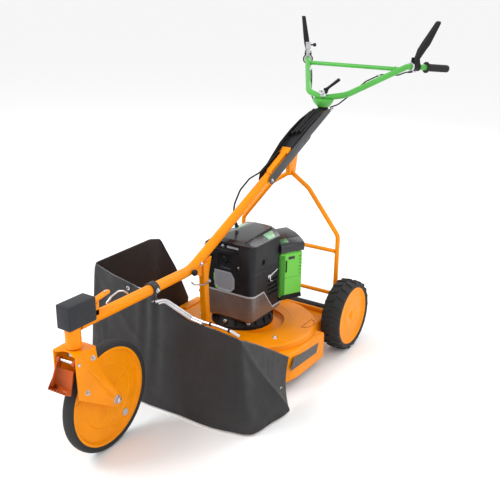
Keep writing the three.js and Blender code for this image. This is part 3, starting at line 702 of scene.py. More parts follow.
@dataclass(frozen=True)
class SpeckleFinish(Finish):
    """Closed-cell foam or cast crumb: small pits all over."""

    def relief(self, board: NodeBoard, place: object) -> object:
        """Pits from scattered cells."""
        pits = board.stretch(board.cells(place, self.grain_scale), 0.05, 0.5)
        slow = board.bump(board.noise(place, 60, 4, 0.6), 0.3, 0.0015)
        return board.bump(pits, self.grain, 0.0008, slow)


ORANGE = Finish("orange_powder_coat", (0.86, 0.262, 0.0), 0.36, drift=0.10, rough_drift=0.07, grain=0.05,
                grain_scale=900, waves=0.16, waves_scale=240, coat=0.05, dust=0.06, scratches=0.15, specular=0.16)
RUST = Finish("rust_red_paint", (0.46, 0.070, 0.003), 0.42, drift=0.2, waves=0.2, waves_scale=200, coat=0.1,
              dust=0.2, scratches=0.3, specular=0.3)
GREEN = Finish("green_powder_coat", (0.075, 0.40, 0.055), 0.35, drift=0.12, grain=0.05, grain_scale=900,
               waves=0.16, waves_scale=240, coat=0.15, dust=0, scratches=0.15, specular=0.3)
BLACK_PAINT = Finish("black_paint", (0.009, 0.009, 0.010), 0.38, drift=0.2, waves=0.2, coat=0.1, scratches=0.2,
                     specular=0.25)
BLACK = Finish("black_grained_plastic", (0.009, 0.009, 0.010), 0.5, drift=0.25, grain=0.4, grain_scale=1100,
               scratches=0.08, specular=0.22)
CHARCOAL = Finish("charcoal_grained_plastic", (0.013, 0.013, 0.0155), 0.44, drift=0.2, grain=0.45,
                  grain_scale=1000, scratches=0.06, dust=0, specular=0.25)
GLOSS_BLACK = Finish("gloss_black_plastic", (0.006, 0.006, 0.007), 0.2, drift=0.2, grain=0.03, rough_drift=0.05,
                     waves=0.08, waves_scale=60, coat=0.25, dust=0, specular=0.3)
SMOKE = Finish("smoky_gloss_plastic", (0.150, 0.112, 0.098), 0.24, drift=0.3, drift_scale=5, grain=0.04,
               rough_drift=0.06, waves=0.1, waves_scale=40, coat=0.3, dust=0, specular=0.35)
GREY = Finish("grey_plastic", (0.16, 0.17, 0.195), 0.4, drift=0.12, grain=0.3, dust=0, specular=0.3)
PALE_GREY = Finish("pale_grey_plastic", (0.42, 0.42, 0.44), 0.38, drift=0.08, grain=0.2, dust=0)
DARK_GREY = Finish("dark_grey_plastic", (0.055, 0.057, 0.062), 0.45, drift=0.15, grain=0.3, dust=0, specular=0.3)
LIME = Finish("lime_plastic", (0.115, 0.50, 0.022), 0.38, drift=0.08, grain=0.25, grain_scale=1000, dust=0,
              specular=0.3)
DEEP_LIME = Finish("deep_lime_plastic", (0.035, 0.225, 0.012), 0.4, drift=0.1, grain=0.25, dust=0, specular=0.3)
PALE_GREEN = Finish("pale_green_gloss", (0.20, 0.42, 0.23), 0.2, drift=0.2, grain=0.03, coat=0.3, dust=0)
DEEP_GREEN = Finish("deep_green_gloss", (0.012, 0.13, 0.022), 0.2, drift=0.2, grain=0.03, coat=0.3, dust=0)
RIM_ORANGE = Finish("orange_moulded_plastic", (0.88, 0.285, 0.0), 0.42, drift=0.10, grain=0.2, waves=0.1,
                    dust=0.06, scratches=0.15, specular=0.16)
ZINC = ZincFinish("bright_zinc", (0.62, 0.63, 0.66), 0.28, metallic=1, drift=0.16, rough_drift=0.1, grain=0.25,
                  dust=0.1)
STEEL = ZincFinish("ground_steel", (0.42, 0.425, 0.44), 0.34, metallic=1, drift=0.2, rough_drift=0.1, grain=0.3,
                   dust=0.2)
RUBBER = Finish("tyre_rubber", (0.010, 0.010, 0.0105), 0.66, drift=0.3, rough_drift=0.1, grain=0.5,
                grain_scale=500, waves=0.25, waves_scale=50, dust=0.12, scratches=0.06, specular=0.25)
GRIP = Finish("grip_rubber", (0.009, 0.009, 0.010), 0.6, drift=0.25, grain=0.4, grain_scale=900, dust=0,
              specular=0.25)
SHEATH = Finish("cable_sheath", (0.008, 0.008, 0.009), 0.42, drift=0.2, grain=0.2, dust=0, specular=0.25)
FOAM = SpeckleFinish("closed_cell_foam", (0.036, 0.037, 0.042), 0.85, drift=0.18, grain=0.6, grain_scale=420,
                     dust=0, sheen=0.08, specular=0.15)
CLOTH = ClothFinish("coated_guard_cloth", (0.0185, 0.018, 0.020), 0.5, drift=0.22, drift_scale=5,
                    rough_drift=0.1, grain=0.3, sheen=0.03, dust=0.06, specular=0.28)
GREY_THREAD = Finish("grey_thread", (0.05, 0.05, 0.053), 0.7, drift=0.1, grain=0.2, dust=0, specular=0.2)
LABEL = Finish("dark_label_film", (0.020, 0.020, 0.023), 0.3, drift=0.1, grain=0.02, coat=0.2, dust=0)


class Slot(Enum):
    """The record's material slots."""

    ORANGE = "orange_paint"
    RUST = "rust_paint"
    GREEN = "green_paint"
    BLACK_PAINT = "black_paint"
    BLACK = "black_plastic"
    GLOSS_BLACK = "gloss_black_plastic"
    SMOKE = "smoke_plastic"
    GREY = "grey_plastic"
    LIME = "lime_plastic"
    RIM = "orange_plastic"
    FOAM = "foam_rubber"
    GRIP = "grip_rubber"
    CABLE = "cable_rubber"
    TYRE = "tyre_rubber"
    CLOTH = "guard_cloth"
    ZINC = "zinc"
    STEEL = "steel"


def finish_piece(piece: bpy.types.Object, name: str, body: str, slot: Slot, finish: Finish,
                 replaces: Sequence[str] = (), angle: float = 35) -> bpy.types.Object:
    """Name a piece, dress it, and set it on its body.

    Args:
        piece: the modelled piece.
        name: its final name.
        body: the CAD body it moves with.
        slot: the record's material slot.
        finish: its finish.
        replaces: CAD nodes that it stands for.
        angle: edges sharper than this stay sharp.

    Returns:
        The same piece.
    """
    settle(piece)
    piece.name = name
    piece.data.name = name
    piece.data.materials.clear()
    piece.data.materials.append(finish.material())
    smooth(piece, angle)
    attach(piece, body)
    if replaces:
        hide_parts(*replaces)
    log.info("%s: %d faces on %s", name, len(piece.data.polygons), body)
    return piece


def dress_node(node: str, finish: Finish, angle: float = 30) -> None:
    """Give a kept CAD node its finish.

    Args:
        node: the CAD node's name.
        finish: its finish.
        angle: not used.
    """
    piece = frame["nodes"][node]
    piece.data.materials.clear()
    piece.data.materials.append(finish.material())
    log.info("%s: kept from the frame", node)


# --------------------------------------------------------------------- backbone
@dataclass
class Backbone:
    """The bent main tube, its head tube, foam nose block, front strut and lock lever."""

    bend: float = 0.16             # bend radius of the main tube
    nose_top: float = 0.541
    pivot: tuple[float, float] = (-1.088, 0.514)

    def build(self) -> None:
        """Model the backbone's pieces in order."""
        self.main_tube()
        self.head_tube()
        self.nose_block()
        self.strut()
        self.clamp_ring()
        self.lock_lever()
        self.hardware()

    def line(self) -> list[Vector]:
        """The main tube's centre line."""
        top = at(0.291)
        corners = [Vector((0, STEER.y + 0.0245, FRONT_TUBE_Z)), Vector((0, BEND_Y, FRONT_TUBE_Z)),
                   Vector((0, top, upper_z(top)))]
        return arc_route(corners, self.bend, 20)

    def main_tube(self) -> None:
        """Sweep the tube and weld on the lock lever's ears."""
        parts = [tube("line", self.line(), TUBE_R, 48)]
        pivot_y, pivot_z = at(self.pivot[0]), self.pivot[1]
        for low in (-0.017, 0.0134):
            ear = plate("ear", [(pivot_y - 0.008, FRONT_TUBE_Z), (pivot_y + 0.008, FRONT_TUBE_Z),
                                (pivot_y + 0.008, pivot_z + 0.003), (pivot_y + 0.004, pivot_z + 0.008),
                                (pivot_y - 0.004, pivot_z + 0.008), (pivot_y - 0.008, pivot_z + 0.003)],
                        low, low + 0.0036, Axis.X)
            parts.append(soften(ear, 0.0008, 2))
        saddle = block("saddle", (-0.017, pivot_y - 0.008, FRONT_TUBE_Z + 0.010),
                       (0.017, pivot_y + 0.008, FRONT_TUBE_Z + 0.030), 0.002)
        pin = rod("pin", Vector((-0.019, pivot_y, pivot_z)), Vector((0.019, pivot_y, pivot_z)), 0.003, 20, 0.0006)
        piece = merge("main_tube", [*parts, saddle, pin])
        finish_piece(piece, "backbone_tube", "chassis", Slot.ORANGE, ORANGE, ["main_tube"], 40)

    def head_tube(self) -> None:
        """A thick sleeve with chamfered ends."""
        profile = [(0.0133, 0.402), (0.0215, 0.402), (0.0235, 0.404), (0.0235, 0.520), (0.0215, 0.522),
                   (0.0133, 0.522)]
        sleeve = turned("sleeve", profile, Vector((0, STEER.y, 0)), Vector((0, 0, 1)), 56)
        finish_piece(sleeve, "head_sleeve", "chassis", Slot.ORANGE, ORANGE, ["head_tube"])

    def nose_block(self) -> None:
        """Foam block slotted over the tube, with softly cut edges."""
        low = (-0.0265, at(-1.207), 0.467)
        high = (0.0265, at(-1.100), self.nose_top)
        nose = block("nose", low, high, 0.0045, 3)
        bore = rod("bore", Vector((0, STEER.y, 0.40)), Vector((0, STEER.y, 0.5255)), 0.0238, 40)
        slot = block("slot", (-0.0178, STEER.y, 0.43), (0.0178, at(-1.05), 0.4813))
        carve(nose, bore, slot)
        finish_piece(nose, "nose_foam", "chassis", Slot.FOAM, FOAM, ["bumper_block"], 40)

    def strut(self) -> None:
        """The narrow pressed strut from the backbone to the deck, with its gusset and foot."""
        corners = [Vector((0, at(-0.552), 0.470)), Vector((0, at(-0.543), 0.300)),
                   Vector((0, at(-0.533), 0.150))]
        route = arc_route(corners, 0.2, 8)
        sections = []
        for index, place in enumerate(route):
            ahead = route[min(index + 1, len(route) - 1)] - route[max(index - 1, 0)]
            frame_turn = ahead.normalized().to_track_quat("Z", "X")
            half_x = 0.0135
            half_y = 0.0125
            corner = 0.004
            ring = []
            for sx, sy, a0 in ((1, 1, 0), (-1, 1, 90), (-1, -1, 180), (1, -1, 270)):
                for step in range(4):
                    a = math.radians(a0 + 30 * step)
                    ring.append(Vector((sx * (half_x - corner) + corner * math.cos(a),
                                        sy * (half_y - corner) + corner * math.sin(a), 0)))
            sections.append([place + frame_turn @ v for v in ring])
        bar = loft("bar", sections)
        rib = plate("rib", [(at(-0.540), 0.380), (at(-0.526), 0.400), (at(-0.518), 0.440), (at(-0.506), 0.480),
                            (at(-0.560), 0.470), (at(-0.612), 0.450), (at(-0.566), 0.420), (at(-0.553), 0.395)],
                    -0.0035, 0.0035, Axis.X)
        carve(bar, rib, add=True)
        carve(bar, tube("room", self.line(), TUBE_R + 0.0002, 32))
        soften(bar, 0.0012, 2, 40)
        foot = block("foot", (-0.026, at(-0.556), 0.1413), (0.026, at(-0.508), 0.1463), 0.0012)
        flange_left = block("flange", (0.0137, at(-0.553), 0.144), (0.0172, at(-0.512), 0.196), 0.001)
        flange_right = block("flange", (-0.0172, at(-0.553), 0.144), (-0.0137, at(-0.512), 0.196), 0.001)
        piece = merge("strut", [bar, foot, flange_left, flange_right])
        finish_piece(piece, "deck_strut", "chassis", Slot.ORANGE, ORANGE, ["front_strut"])
        bolts = [hex_bolt("bolt", Vector((side * 0.0172, at(-0.532), z)), Vector((side, 0, 0)), 0.010, 0.002)
                 for side in (1, -1) for z in (0.165, 0.186)]
        bolts += [hex_bolt("bolt", Vector((x, at(y), 0.1463)), Vector((0, 0, 1)), 0.009, 0.002)
                  for x, y in ((0.0215, -0.545), (0.0215, -0.518), (-0.0215, -0.545), (-0.0215, -0.518))]
        finish_piece(merge("bolts", bolts), "strut_bolts", "chassis", Slot.ZINC, ZINC)

    def clamp_ring(self) -> None:
        """The black clamp that carries the guard rods, with two small hooks."""
        profile = [(0.0179, -0.013), (0.0225, -0.013), (0.0235, -0.012), (0.0235, 0.012), (0.0225, 0.013),
                   (0.0179, 0.013)]
        ring = turned("ring", profile, Vector((0, at(-0.826), FRONT_TUBE_Z)), Vector((0, 1, 0)), 48)
        hooks = []
        for y in (-0.832, -0.820):
            hook = block("hook", (-0.008, at(y) - 0.004, FRONT_TUBE_Z - 0.040),
                         (0.008, at(y) + 0.004, FRONT_TUBE_Z - 0.020), 0.0015)
            hooks.append(hook)
        piece = merge("ring", [ring, *hooks])
        finish_piece(piece, "guard_clamp", "chassis", Slot.BLACK_PAINT, BLACK_PAINT, ["apron_clamp"])
        bolt = hex_bolt("bolt", Vector((0.0235, at(-0.826), FRONT_TUBE_Z)), Vector((1, 0, 0)), 0.009, 0.002)
        finish_piece(bolt, "clamp_ring_bolt", "chassis", Slot.ZINC, ZINC)

    def lock_lever(self) -> None:
        """A flat lever with a rounded end and a rolled eye."""
        pivot = Vector((0, at(self.pivot[0]), self.pivot[1]))
        tilt = math.radians(10)
        ahead = Vector((0, math.cos(tilt), math.sin(tilt)))
        up = Vector((0, -math.sin(tilt), math.cos(tilt)))
        outline = [(-0.0105, 0.0), (0.0105, 0.0)]
        outline += [(0.0105 * math.cos(a), 0.0585 + 0.0105 * math.sin(a))
                    for a in [math.pi * i / 14 for i in range(15)]]
        rings = [[pivot + Vector((x, 0, 0)) + ahead * d + up * h for x, d in outline] for h in (-0.0026, 0.0026)]
        lever = soften(loft("lever", rings), 0.0009, 2)
        eye = rod("eye", pivot - Vector((0.0130, 0, 0)), pivot + Vector((0.0130, 0, 0)), 0.0085, 32, 0.001)
        carve(lever, eye, add=True)
        carve(lever, rod("bore", pivot - Vector((0.03, 0, 0)), pivot + Vector((0.03, 0, 0)), 0.0034, 24))
        finish_piece(lever, "lock_lever", "swivel_lock_lever", Slot.ORANGE, ORANGE, ["swivel_lock_lever"])
        seat = pivot + ahead * 0.054 + up * 0.0026
        bolt = hex_bolt("bolt", seat, up, 0.008, 0.001, washer=False)
        finish_piece(bolt, "lock_lever_stud", "swivel_lock_lever", Slot.ZINC, ZINC)

    def hardware(self) -> None:
        """The galvanised loop behind the block, the strut's hook rod and its knob, and tube bolts."""
        loop = [Vector((-0.0215, at(-1.012), 0.474)), Vector((-0.0215, at(-0.990), 0.489)),
                Vector((-0.0205, at(-0.960), 0.497)), Vector((-0.0205, at(-0.935), 0.489)),
                Vector((-0.0215, at(-0.918), 0.474))]
        finish_piece(tube("loop", arc_route(loop, 0.03, 5), 0.003, 16), "tube_loop", "chassis", Slot.ZINC, ZINC)
        hook = [Vector((0.016, at(-0.640), 0.428)), Vector((0.018, at(-0.628), 0.415)),
                Vector((0.019, at(-0.606), 0.408)), Vector((0.019, at(-0.572), 0.396)),
                Vector((0.0165, at(-0.545), 0.395))]
        finish_piece(tube("hook", arc_route(hook, 0.02, 5), 0.0028, 16), "strut_hook", "chassis", Slot.ZINC, ZINC)
        knob = turned("knob", [(0.0, 0.0), (0.005, 0.0), (0.006, 0.003), (0.010, 0.005), (0.0115, 0.010),
                               (0.010, 0.015), (0.006, 0.017), (0.0, 0.0172)],
                      Vector((0.0175, at(-0.636), 0.4635)), Vector((1, 0, 0)), 32)
        finish_piece(knob, "tube_knob", "chassis", Slot.BLACK, BLACK)
        bolts = [hex_bolt("bolt", Vector((0.0175, at(-0.585), upper_z(at(-0.585)) - 0.004)), Vector((1, 0, 0)),
                          0.009, 0.002),
                 hex_bolt("bolt", Vector((0.0130, at(-0.536), 0.398)), Vector((1, 0, 0)), 0.009, 0.002)]
        finish_piece(merge("bolts", bolts), "backbone_bolts", "chassis", Slot.ZINC, ZINC)


# -------------------------------------------------------------------- front end
@dataclass
class FrontEnd:
    """The castor: pressed fork, kingpin, axle, lock pedal and the moulded wheel."""

    cheek_x: float = 0.044
    sheet: float = 0.004
    trail: float = 0.123
    wheel_r: float = 0.180
    rim_r: float = 0.160
    tyre_w: float = 0.034

    def __post_init__(self) -> None:
        """Set up the turned directions of the castor."""
        self.turn = Matrix.Translation((0, STEER.y, 0)) @ Matrix.Rotation(SWIVEL_AT_REST, 4, "Z")
        self.hub = Vector((0, self.trail, self.wheel_r))

    def build(self) -> None:
        """Model the castor's pieces in order."""
        self.fork()
        self.kingpin()
        self.axle()
        self.pedal()
        self.tyre()
        self.rim()

    def set_in(self, piece: bpy.types.Object) -> bpy.types.Object:
        """Move a piece modelled about the steering axis to its resting swivel."""
        piece.matrix_world = self.turn @ piece.matrix_world
        return settle(piece)

    def cheek_outline(self) -> list[tuple[float, float]]:
        """One cheek's outline in (y, z), with its waisted rear edge and round axle boss."""
        boss = [(self.trail + 0.0235 * math.cos(a), self.wheel_r + 0.0235 * math.sin(a))
                for a in [math.radians(35 - i * 9.5) for i in range(17)]]
        rear = [(0.042, 0.400), (0.0435, 0.385), (0.047, 0.362), (0.0535, 0.335), (0.070, 0.300),
                (0.098, 0.252), (0.122, 0.218)]
        front = [(-0.037, 0.258), (-0.0385, 0.300), (-0.040, 0.345), (-0.040, 0.400)]
        return [*rear, *boss, *front]

    def fork(self) -> None:
        """Cheeks, a notched top plate, a cross pin and studs."""
        x, sheet = self.cheek_x, self.sheet
        parts = []
        for side in (1, -1):
            cheek = plate("cheek", self.cheek_outline(), side * (x - sheet), side * x, Axis.X)
            carve(cheek, rod("hole", Vector((side * 0.03, self.trail, self.wheel_r)),
                             Vector((side * 0.06, self.trail, self.wheel_r)), 0.0083, 32))
            lip_line = [Vector((side * (x - 0.0032), y, z)) for y, z in self.cheek_outline()[20:-2]]
            parts.append(cheek)
        wave = [(-x, -0.040), (-0.030, -0.040), (-0.022, -0.034), (-0.013, -0.0275), (0.0, -0.0255),
                (0.013, -0.0275), (0.022, -0.034), (0.030, -0.040), (x, -0.040), (x, 0.042), (-x, 0.042)]
        top = plate("top", wave, 0.396, 0.400)
        carve(top, rod("hole", Vector((0, 0, 0.38)), Vector((0, 0, 0.41)), 0.0133, 40))
        fork = parts[0]
        carve(fork, parts[1], top, add=True)
        clean(fork, 1e-5)
        soften(fork, 0.0012, 2, 50)
        finish_piece(self.set_in(fork), "castor_fork", "front_fork", Slot.ORANGE, ORANGE, ["fork"], 40)
        pin = rod("pin", Vector((-0.049, -0.031, 0.370)), Vector((0.049, -0.031, 0.370)), 0.005, 28, 0.0012)
        studs = [hex_bolt("bolt", Vector((side * x, y, z)), Vector((side, 0, 0)), 0.010, 0.002)
                 for side in (1, -1) for y, z in ((-0.002, 0.2660), (0.0290, 0.3660))]
        zinc = merge("pins", [pin, *studs])
        finish_piece(self.set_in(zinc), "fork_pins", "front_fork", Slot.ZINC, ZINC)

    def kingpin(self) -> None:
        """The steering pin with its collar under the fork's top plate."""
        profile = [(0.0, 0.380), (0.019, 0.380), (0.020, 0.381), (0.020, 0.3957), (0.013, 0.3957),
                   (0.013, 0.5175), (0.0115, 0.519), (0.0, 0.519)]
        pin = turned("kingpin", profile, Vector((0, 0, 0)), Vector((0, 0, 1)), 40)
        finish_piece(self.set_in(pin), "steering_pin", "front_fork", Slot.STEEL, STEEL, ["kingpin"])

    def axle(self) -> None:
        """The axle bolt with washers, nut and thread ends."""
        shaft = rod("shaft", Vector((-0.051, self.trail, self.wheel_r)), Vector((0.051, self.trail, self.wheel_r)),
                    0.0078, 28, 0.001)
        ends = [hex_bolt("end", Vector((side * (self.cheek_x + 0.0002), self.trail, self.wheel_r)),
                         Vector((side, 0, 0)), 0.0165, 0.001) for side in (1, -1)]
        piece = merge("axle", [shaft, *ends])
        finish_piece(self.set_in(piece), "wheel_axle", "front_fork", Slot.ZINC, ZINC, ["front_axle_bolt"])

    def pedal(self) -> None:
        """A folded pedal plate with a toothed lower lip, on a tube round the cross pin."""
        hub = Vector((0, -0.031, 0.370))
        sheet = [(-0.0450, 0.352), (-0.0390, 0.349), (-0.0605, 0.2865), (-0.0795, 0.2975), (-0.0815, 0.2935),
                 (-0.0600, 0.2805)]
        tread = plate("tread", [sheet[0], sheet[1], sheet[2], sheet[3], sheet[4], sheet[5]], -0.034, 0.034, Axis.X)
        parts = [tread]
        for low in (-0.034, 0.030):
            arm = plate("arm", [(-0.040, 0.364), (-0.022, 0.360), (-0.030, 0.318), (-0.058, 0.288),
                                (-0.070, 0.300)], low, low + 0.004, Axis.X)
            parts.append(arm)
        sleeves = [rod("sleeve", hub + Vector((low, 0, 0)), hub + Vector((low + 0.009, 0, 0)), 0.0098, 36)
                   for low in (-0.034, 0.025)]
        pedal = tread
        carve(pedal, parts[1], parts[2], *sleeves, add=True)
        carve(pedal, rod("bore", hub - Vector((0.05, 0, 0)), hub + Vector((0.05, 0, 0)), 0.0053, 24))
        for index in range(6):
            x = -0.0275 + index * 0.011
            carve(pedal, block("notch", (x - 0.0024, -0.0850, 0.2850), (x + 0.0024, -0.0765, 0.3010)))
        clean(pedal, 1e-5)
        soften(pedal, 0.0008, 2, 50)
        finish_piece(self.set_in(pedal), "lock_pedal", "fork_pedal", Slot.RUST, RUST, ["fork_pedal"], 40)

    def tyre(self) -> None:
        """A narrow solid tyre with a rounded crown and shallow side grooves."""
        half, outer, inner = self.tyre_w / 2, self.wheel_r, self.rim_r
        crown = []
        for step in range(13):
            a = math.radians(-78 + 13 * step)
            crown.append((outer - 0.006 * (1 - math.cos(a)) * 1.25, (half - 0.0008) * math.sin(a) / math.sin(math.radians(78))))
        profile = [(inner, -half + 0.002), (inner + 0.0045, -half + 0.0005), (inner + 0.0065, -half + 0.0018),
                   (inner + 0.0085, -half + 0.0002), *crown, (inner + 0.0085, half - 0.0002),
                   (inner + 0.0065, half - 0.0018), (inner + 0.0045, half - 0.0005), (inner, half - 0.002)]
        tyre = turned("tyre", profile, self.hub, Vector((1, 0, 0)), 120)
        finish_piece(self.set_in(tyre), "front_tread", "front_wheel", Slot.TYRE, RUBBER, ["front_tyre"])

    def rim(self) -> None:
        """The moulded disc wheel: dished web, raised rings, triangular ribs and a hub barrel."""
        rim_r = self.rim_r - 0.0003
        profile = [(0.0135, -0.0358), (0.0225, -0.0358), (0.0240, -0.0345), (0.0245, -0.0100), (0.0300, -0.0042),
                   (0.1020, -0.0042), (0.1040, -0.0060), (0.1075, -0.0060), (0.1095, -0.0042),
                   (rim_r - 0.014, -0.0042), (rim_r - 0.009, -0.0100), (rim_r - 0.0075, -0.0138),
                   (rim_r, -0.0140), (rim_r, 0.0140), (rim_r - 0.0075, 0.0138), (rim_r - 0.009, 0.0100),
                   (rim_r - 0.014, 0.0042), (0.1095, 0.0042), (0.1075, 0.0060), (0.1040, 0.0060),
                   (0.1020, 0.0042), (0.0300, 0.0042), (0.0245, 0.0100), (0.0240, 0.0345), (0.0225, 0.0358),
                   (0.0135, 0.0358)]
        parts = [turned("disc", profile, self.hub, Vector((1, 0, 0)), 96)]
        for side in (1, -1):
            for index in range(3):
                angle = math.radians(120 * index + 30)
                out = Vector((0, math.cos(angle), math.sin(angle)))
                across = Vector((0, -math.sin(angle), math.cos(angle)))
                rings = []
                for depth, width in ((0.0030, 1.0), (0.0058, 0.55)):
                    rings.append([self.hub + Vector((side * depth, 0, 0)) + out * r + across * w * width
                                  for r, w in ((0.026, -0.0040), (0.103, -0.0040), (0.103, 0.0040), (0.026, 0.0040))])
                parts.append(loft("rib", rings))
                for lean in (-1, 1):
                    foot = self.hub + out * 0.107
                    end_angle = angle + lean * math.radians(21)
                    tip = self.hub + Vector((0, math.cos(end_angle), math.sin(end_angle))) * (rim_r - 0.011)
                    flow = (tip - foot).normalized()
                    wide = flow.cross(Vector((1, 0, 0))) * 0.0034
                    rings = [[p + Vector((side * depth, 0, 0)) for p in (
                        foot - wide * scale, tip - wide * scale, tip + wide * scale, foot + wide * scale)]
                             for depth, scale in ((0.0030, 1.0), (0.0055, 0.5))]
                    parts.append(loft("brace", rings))
        piece = merge("rim", parts)
        finish_piece(self.set_in(piece), "front_disc", "front_wheel", Slot.RIM, RIM_ORANGE, ["front_rim"], 30)
        caps = []
        for side in (1, -1):
            seat = self.hub + Vector((side * 0.0040, 0.0780, -0.0980))
            caps.append(turned("cap", [(0.0, 0.0), (0.0120, 0.0), (0.0124, 0.0025), (0.0105, 0.0042), (0.0, 0.0044)],
                               seat, Vector((side, 0, 0)), 28))
        plug = merge("plug", caps)
        finish_piece(self.set_in(plug), "valve_plug", "front_wheel", Slot.RIM, PALE_GREY)


# ------------------------------------------------------------------------- deck
@dataclass
class Deck:
    """Pressed mowing deck with its raised ring, volute ridge, ribs and side field."""

    roof: float = 0.141
    skirt: float = 0.036
    wall: float = 0.004
    half_w: float = 0.304
    plateau: float = 0.162
    foot_r: float = 0.214
    top_r: float = 0.196

    def build(self) -> None:
        """Model the deck's pieces in order."""
        self.shell()
        self.side_field()
        self.bolts()
        self.rear_rail()

    def outline(self, inset: float, steps: int = 16) -> list[tuple[float, float]]:
        """The deck's outline in (x, y), drawn in by `inset`."""
        half_w, rear_half = self.half_w - inset, 0.244 - inset
        shoulder_rear = at(-0.190) - inset
        front, shoulder = at(-0.606) + inset, at(-0.330)
        right = [(rear_half, at(-0.026) - inset), (rear_half, shoulder_rear), (half_w, shoulder_rear)]
        for i in range(steps + 1):
            angle = i / steps * math.pi / 2
            right.append((half_w * max(0.0, math.cos(angle)) ** 0.8,
                          shoulder - (shoulder - front) * math.sin(angle) ** 0.8))
        right[-1] = (0.0, front)
        left = [(-x, y) for x, y in reversed(right[:-1])]
        return [*right, *left]

    def shell(self) -> None:
        """Press the deck: rounded roof edge, hollow below, ring, ridge and side emboss."""
        outer = plate("shell", self.outline(0), self.skirt, self.roof)
        edit(outer, lambda place, normal: normal.z > 0.9)
        bpy.ops.mesh.bevel(offset=0.011, segments=5, affect="EDGES")
        close_edit()
        hollow = plate("hollow", self.outline(self.wall), self.skirt - 0.01, self.roof - self.wall)
        middle = Vector((0, CUTTER.y, 0))
        ring = turned("ring", [(0.0, 0.135), (self.foot_r, 0.135), (self.foot_r, self.roof - 0.0003),
                               (self.foot_r - 0.003, self.roof + 0.003), (self.top_r + 0.003, self.plateau - 0.002),
                               (self.top_r - 0.003, self.plateau), (0.0, self.plateau)],
                      middle, Vector((0, 0, 1)), 96)
        shaft = rod("shaft", middle + Vector((0, 0, 0.15)), middle + Vector((0, 0, 0.17)), 0.0225, 48)
        carve(outer, ring, add=True)
        carve(outer, self.volute(), *self.embosses(), add=True)
        carve(outer, hollow, shaft, self.trench())
        clean(outer, 1e-5)
        finish_piece(outer, "deck_shell", "chassis", Slot.ORANGE, ORANGE, ["deck"], 32)

    def volute(self) -> bpy.types.Object:
        """A raised spiral shelf that winds from the ring out towards the deck's left side."""
        centre = Vector((0, CUTTER.y, 0))
        sections = []
        for i in range(41):
            t = i / 40
            angle = math.radians(-78 + 182 * t)
            reach = 0.212 + 0.072 * math.sin(math.pi * t) ** 0.7
            place = Vector((math.cos(angle), math.sin(angle), 0))
            rise = self.plateau + 0.0008
            profile = [(0.190, 0.1380), (reach + 0.006, 0.1380), (reach + 0.005, 0.1450), (reach + 0.001, rise - 0.0045),
                       (reach - 0.004, rise - 0.0008), (reach - 0.009, rise), (0.190, rise)]
            sections.append([centre + place * r + Vector((0, 0, z)) for r, z in profile])
        return loft("volute", sections)

    def trench(self) -> bpy.types.Object:
        """The sickle-shaped hollow beside the motor's foot."""
        centre = Vector((0, CUTTER.y, 0))
        sections = []
        for i in range(31):
            t = i / 30
            angle = math.radians(-48 + 134 * t)
            wide = 0.044 * math.sin(math.pi * min(max(t, 0.015), 0.985)) ** 0.55
            place = Vector((math.cos(angle), math.sin(angle), 0))
            profile = [(0.1225, 0.1475), (0.1225 + wide * 0.72, 0.1475), (0.1225 + wide * 0.92, 0.1530),
                       (0.1225 + wide, 0.1700), (0.1225, 0.1700)]
            sections.append([centre + place * r + Vector((0, 0, z)) for r, z in profile])
        return loft("trench", sections)

    def embosses(self) -> list[bpy.types.Object]:
        """Stiffening ribs pressed across the front corners and beside the ring."""
        ribs = []
        for side in (1, -1):
            rib = block("rib", (side * 0.262 - 0.009, at(-0.33), 0.138), (side * 0.262 + 0.009, at(-0.215), 0.1465),
                        0.0028, 3)
            ribs.append(rib)
            front = block("rib", (side * 0.16 - 0.045, at(-0.585), 0.138), (side * 0.16 + 0.045, at(-0.567), 0.1460),
                          0.0028, 3)
            ribs.append(front)
        return ribs

    def side_field(self) -> None:
        """A plain dark film in a slanted frame on each side wall."""
        for side, label in ((1, "left"), (-1, "right")):
            x = side * (self.half_w + 0.0001)
            outline = [(-0.213, 0.084), (-0.018, 0.076), (-0.004, 0.112), (-0.192, 0.128)]
            low, high = sorted((x, x + side * 0.0007))
            film = plate("film", outline, low, high, Axis.X)
            edit(film, lambda place, normal, s=side: normal.x * s > 0.9)
            bpy.ops.mesh.inset(thickness=0.0022, depth=0.0002)
            close_edit()
            finish_piece(film, f"side_film_{label}", "chassis", Slot.BLACK, LABEL)

    def bolts(self) -> None:
        """Bolts round the motor base and on the roof's flange."""
        top = Vector((0, 0, 1))
        heads = [hex_bolt("bolt", Vector((0.199, CUTTER.y - 0.080, self.plateau + 0.0008)), top, 0.011)]
        heads += [hex_bolt("bolt", Vector((x, CUTTER.y + y, self.plateau)), top, 0.011)
                  for x, y in ((-0.150, -0.060), (-0.150, 0.060), (0.0, 0.160))]
        heads.append(hex_bolt("bolt", Vector((-0.222, at(-0.150), self.roof)), top, 0.011))
        bow = [Vector((0.233 + 0.030 * math.sin(math.pi * i / 12), 0.024 - 0.040 * math.cos(math.pi * i / 12),
                       self.plateau + 0.0008)) for i in range(13)]
        mark = tube("mark", [*bow, bow[0] + Vector((0.0008, 0.004, 0))], 0.0016, 12)
        finish_piece(mark, "deck_mark", "chassis", Slot.RUST, RUST)
        finish_piece(merge("bolts", heads), "deck_bolts", "chassis", Slot.ZINC, ZINC)

    def rear_rail(self) -> None:
        """A folded stiffening rail along the deck's rear edge."""
        rail = block("rail", (-0.236, at(-0.043), self.roof + 0.0002), (0.236, at(-0.029), self.roof + 0.0150),
                     0.003, 3)
        finish_piece(rail, "deck_rail", "chassis", Slot.ORANGE, ORANGE)


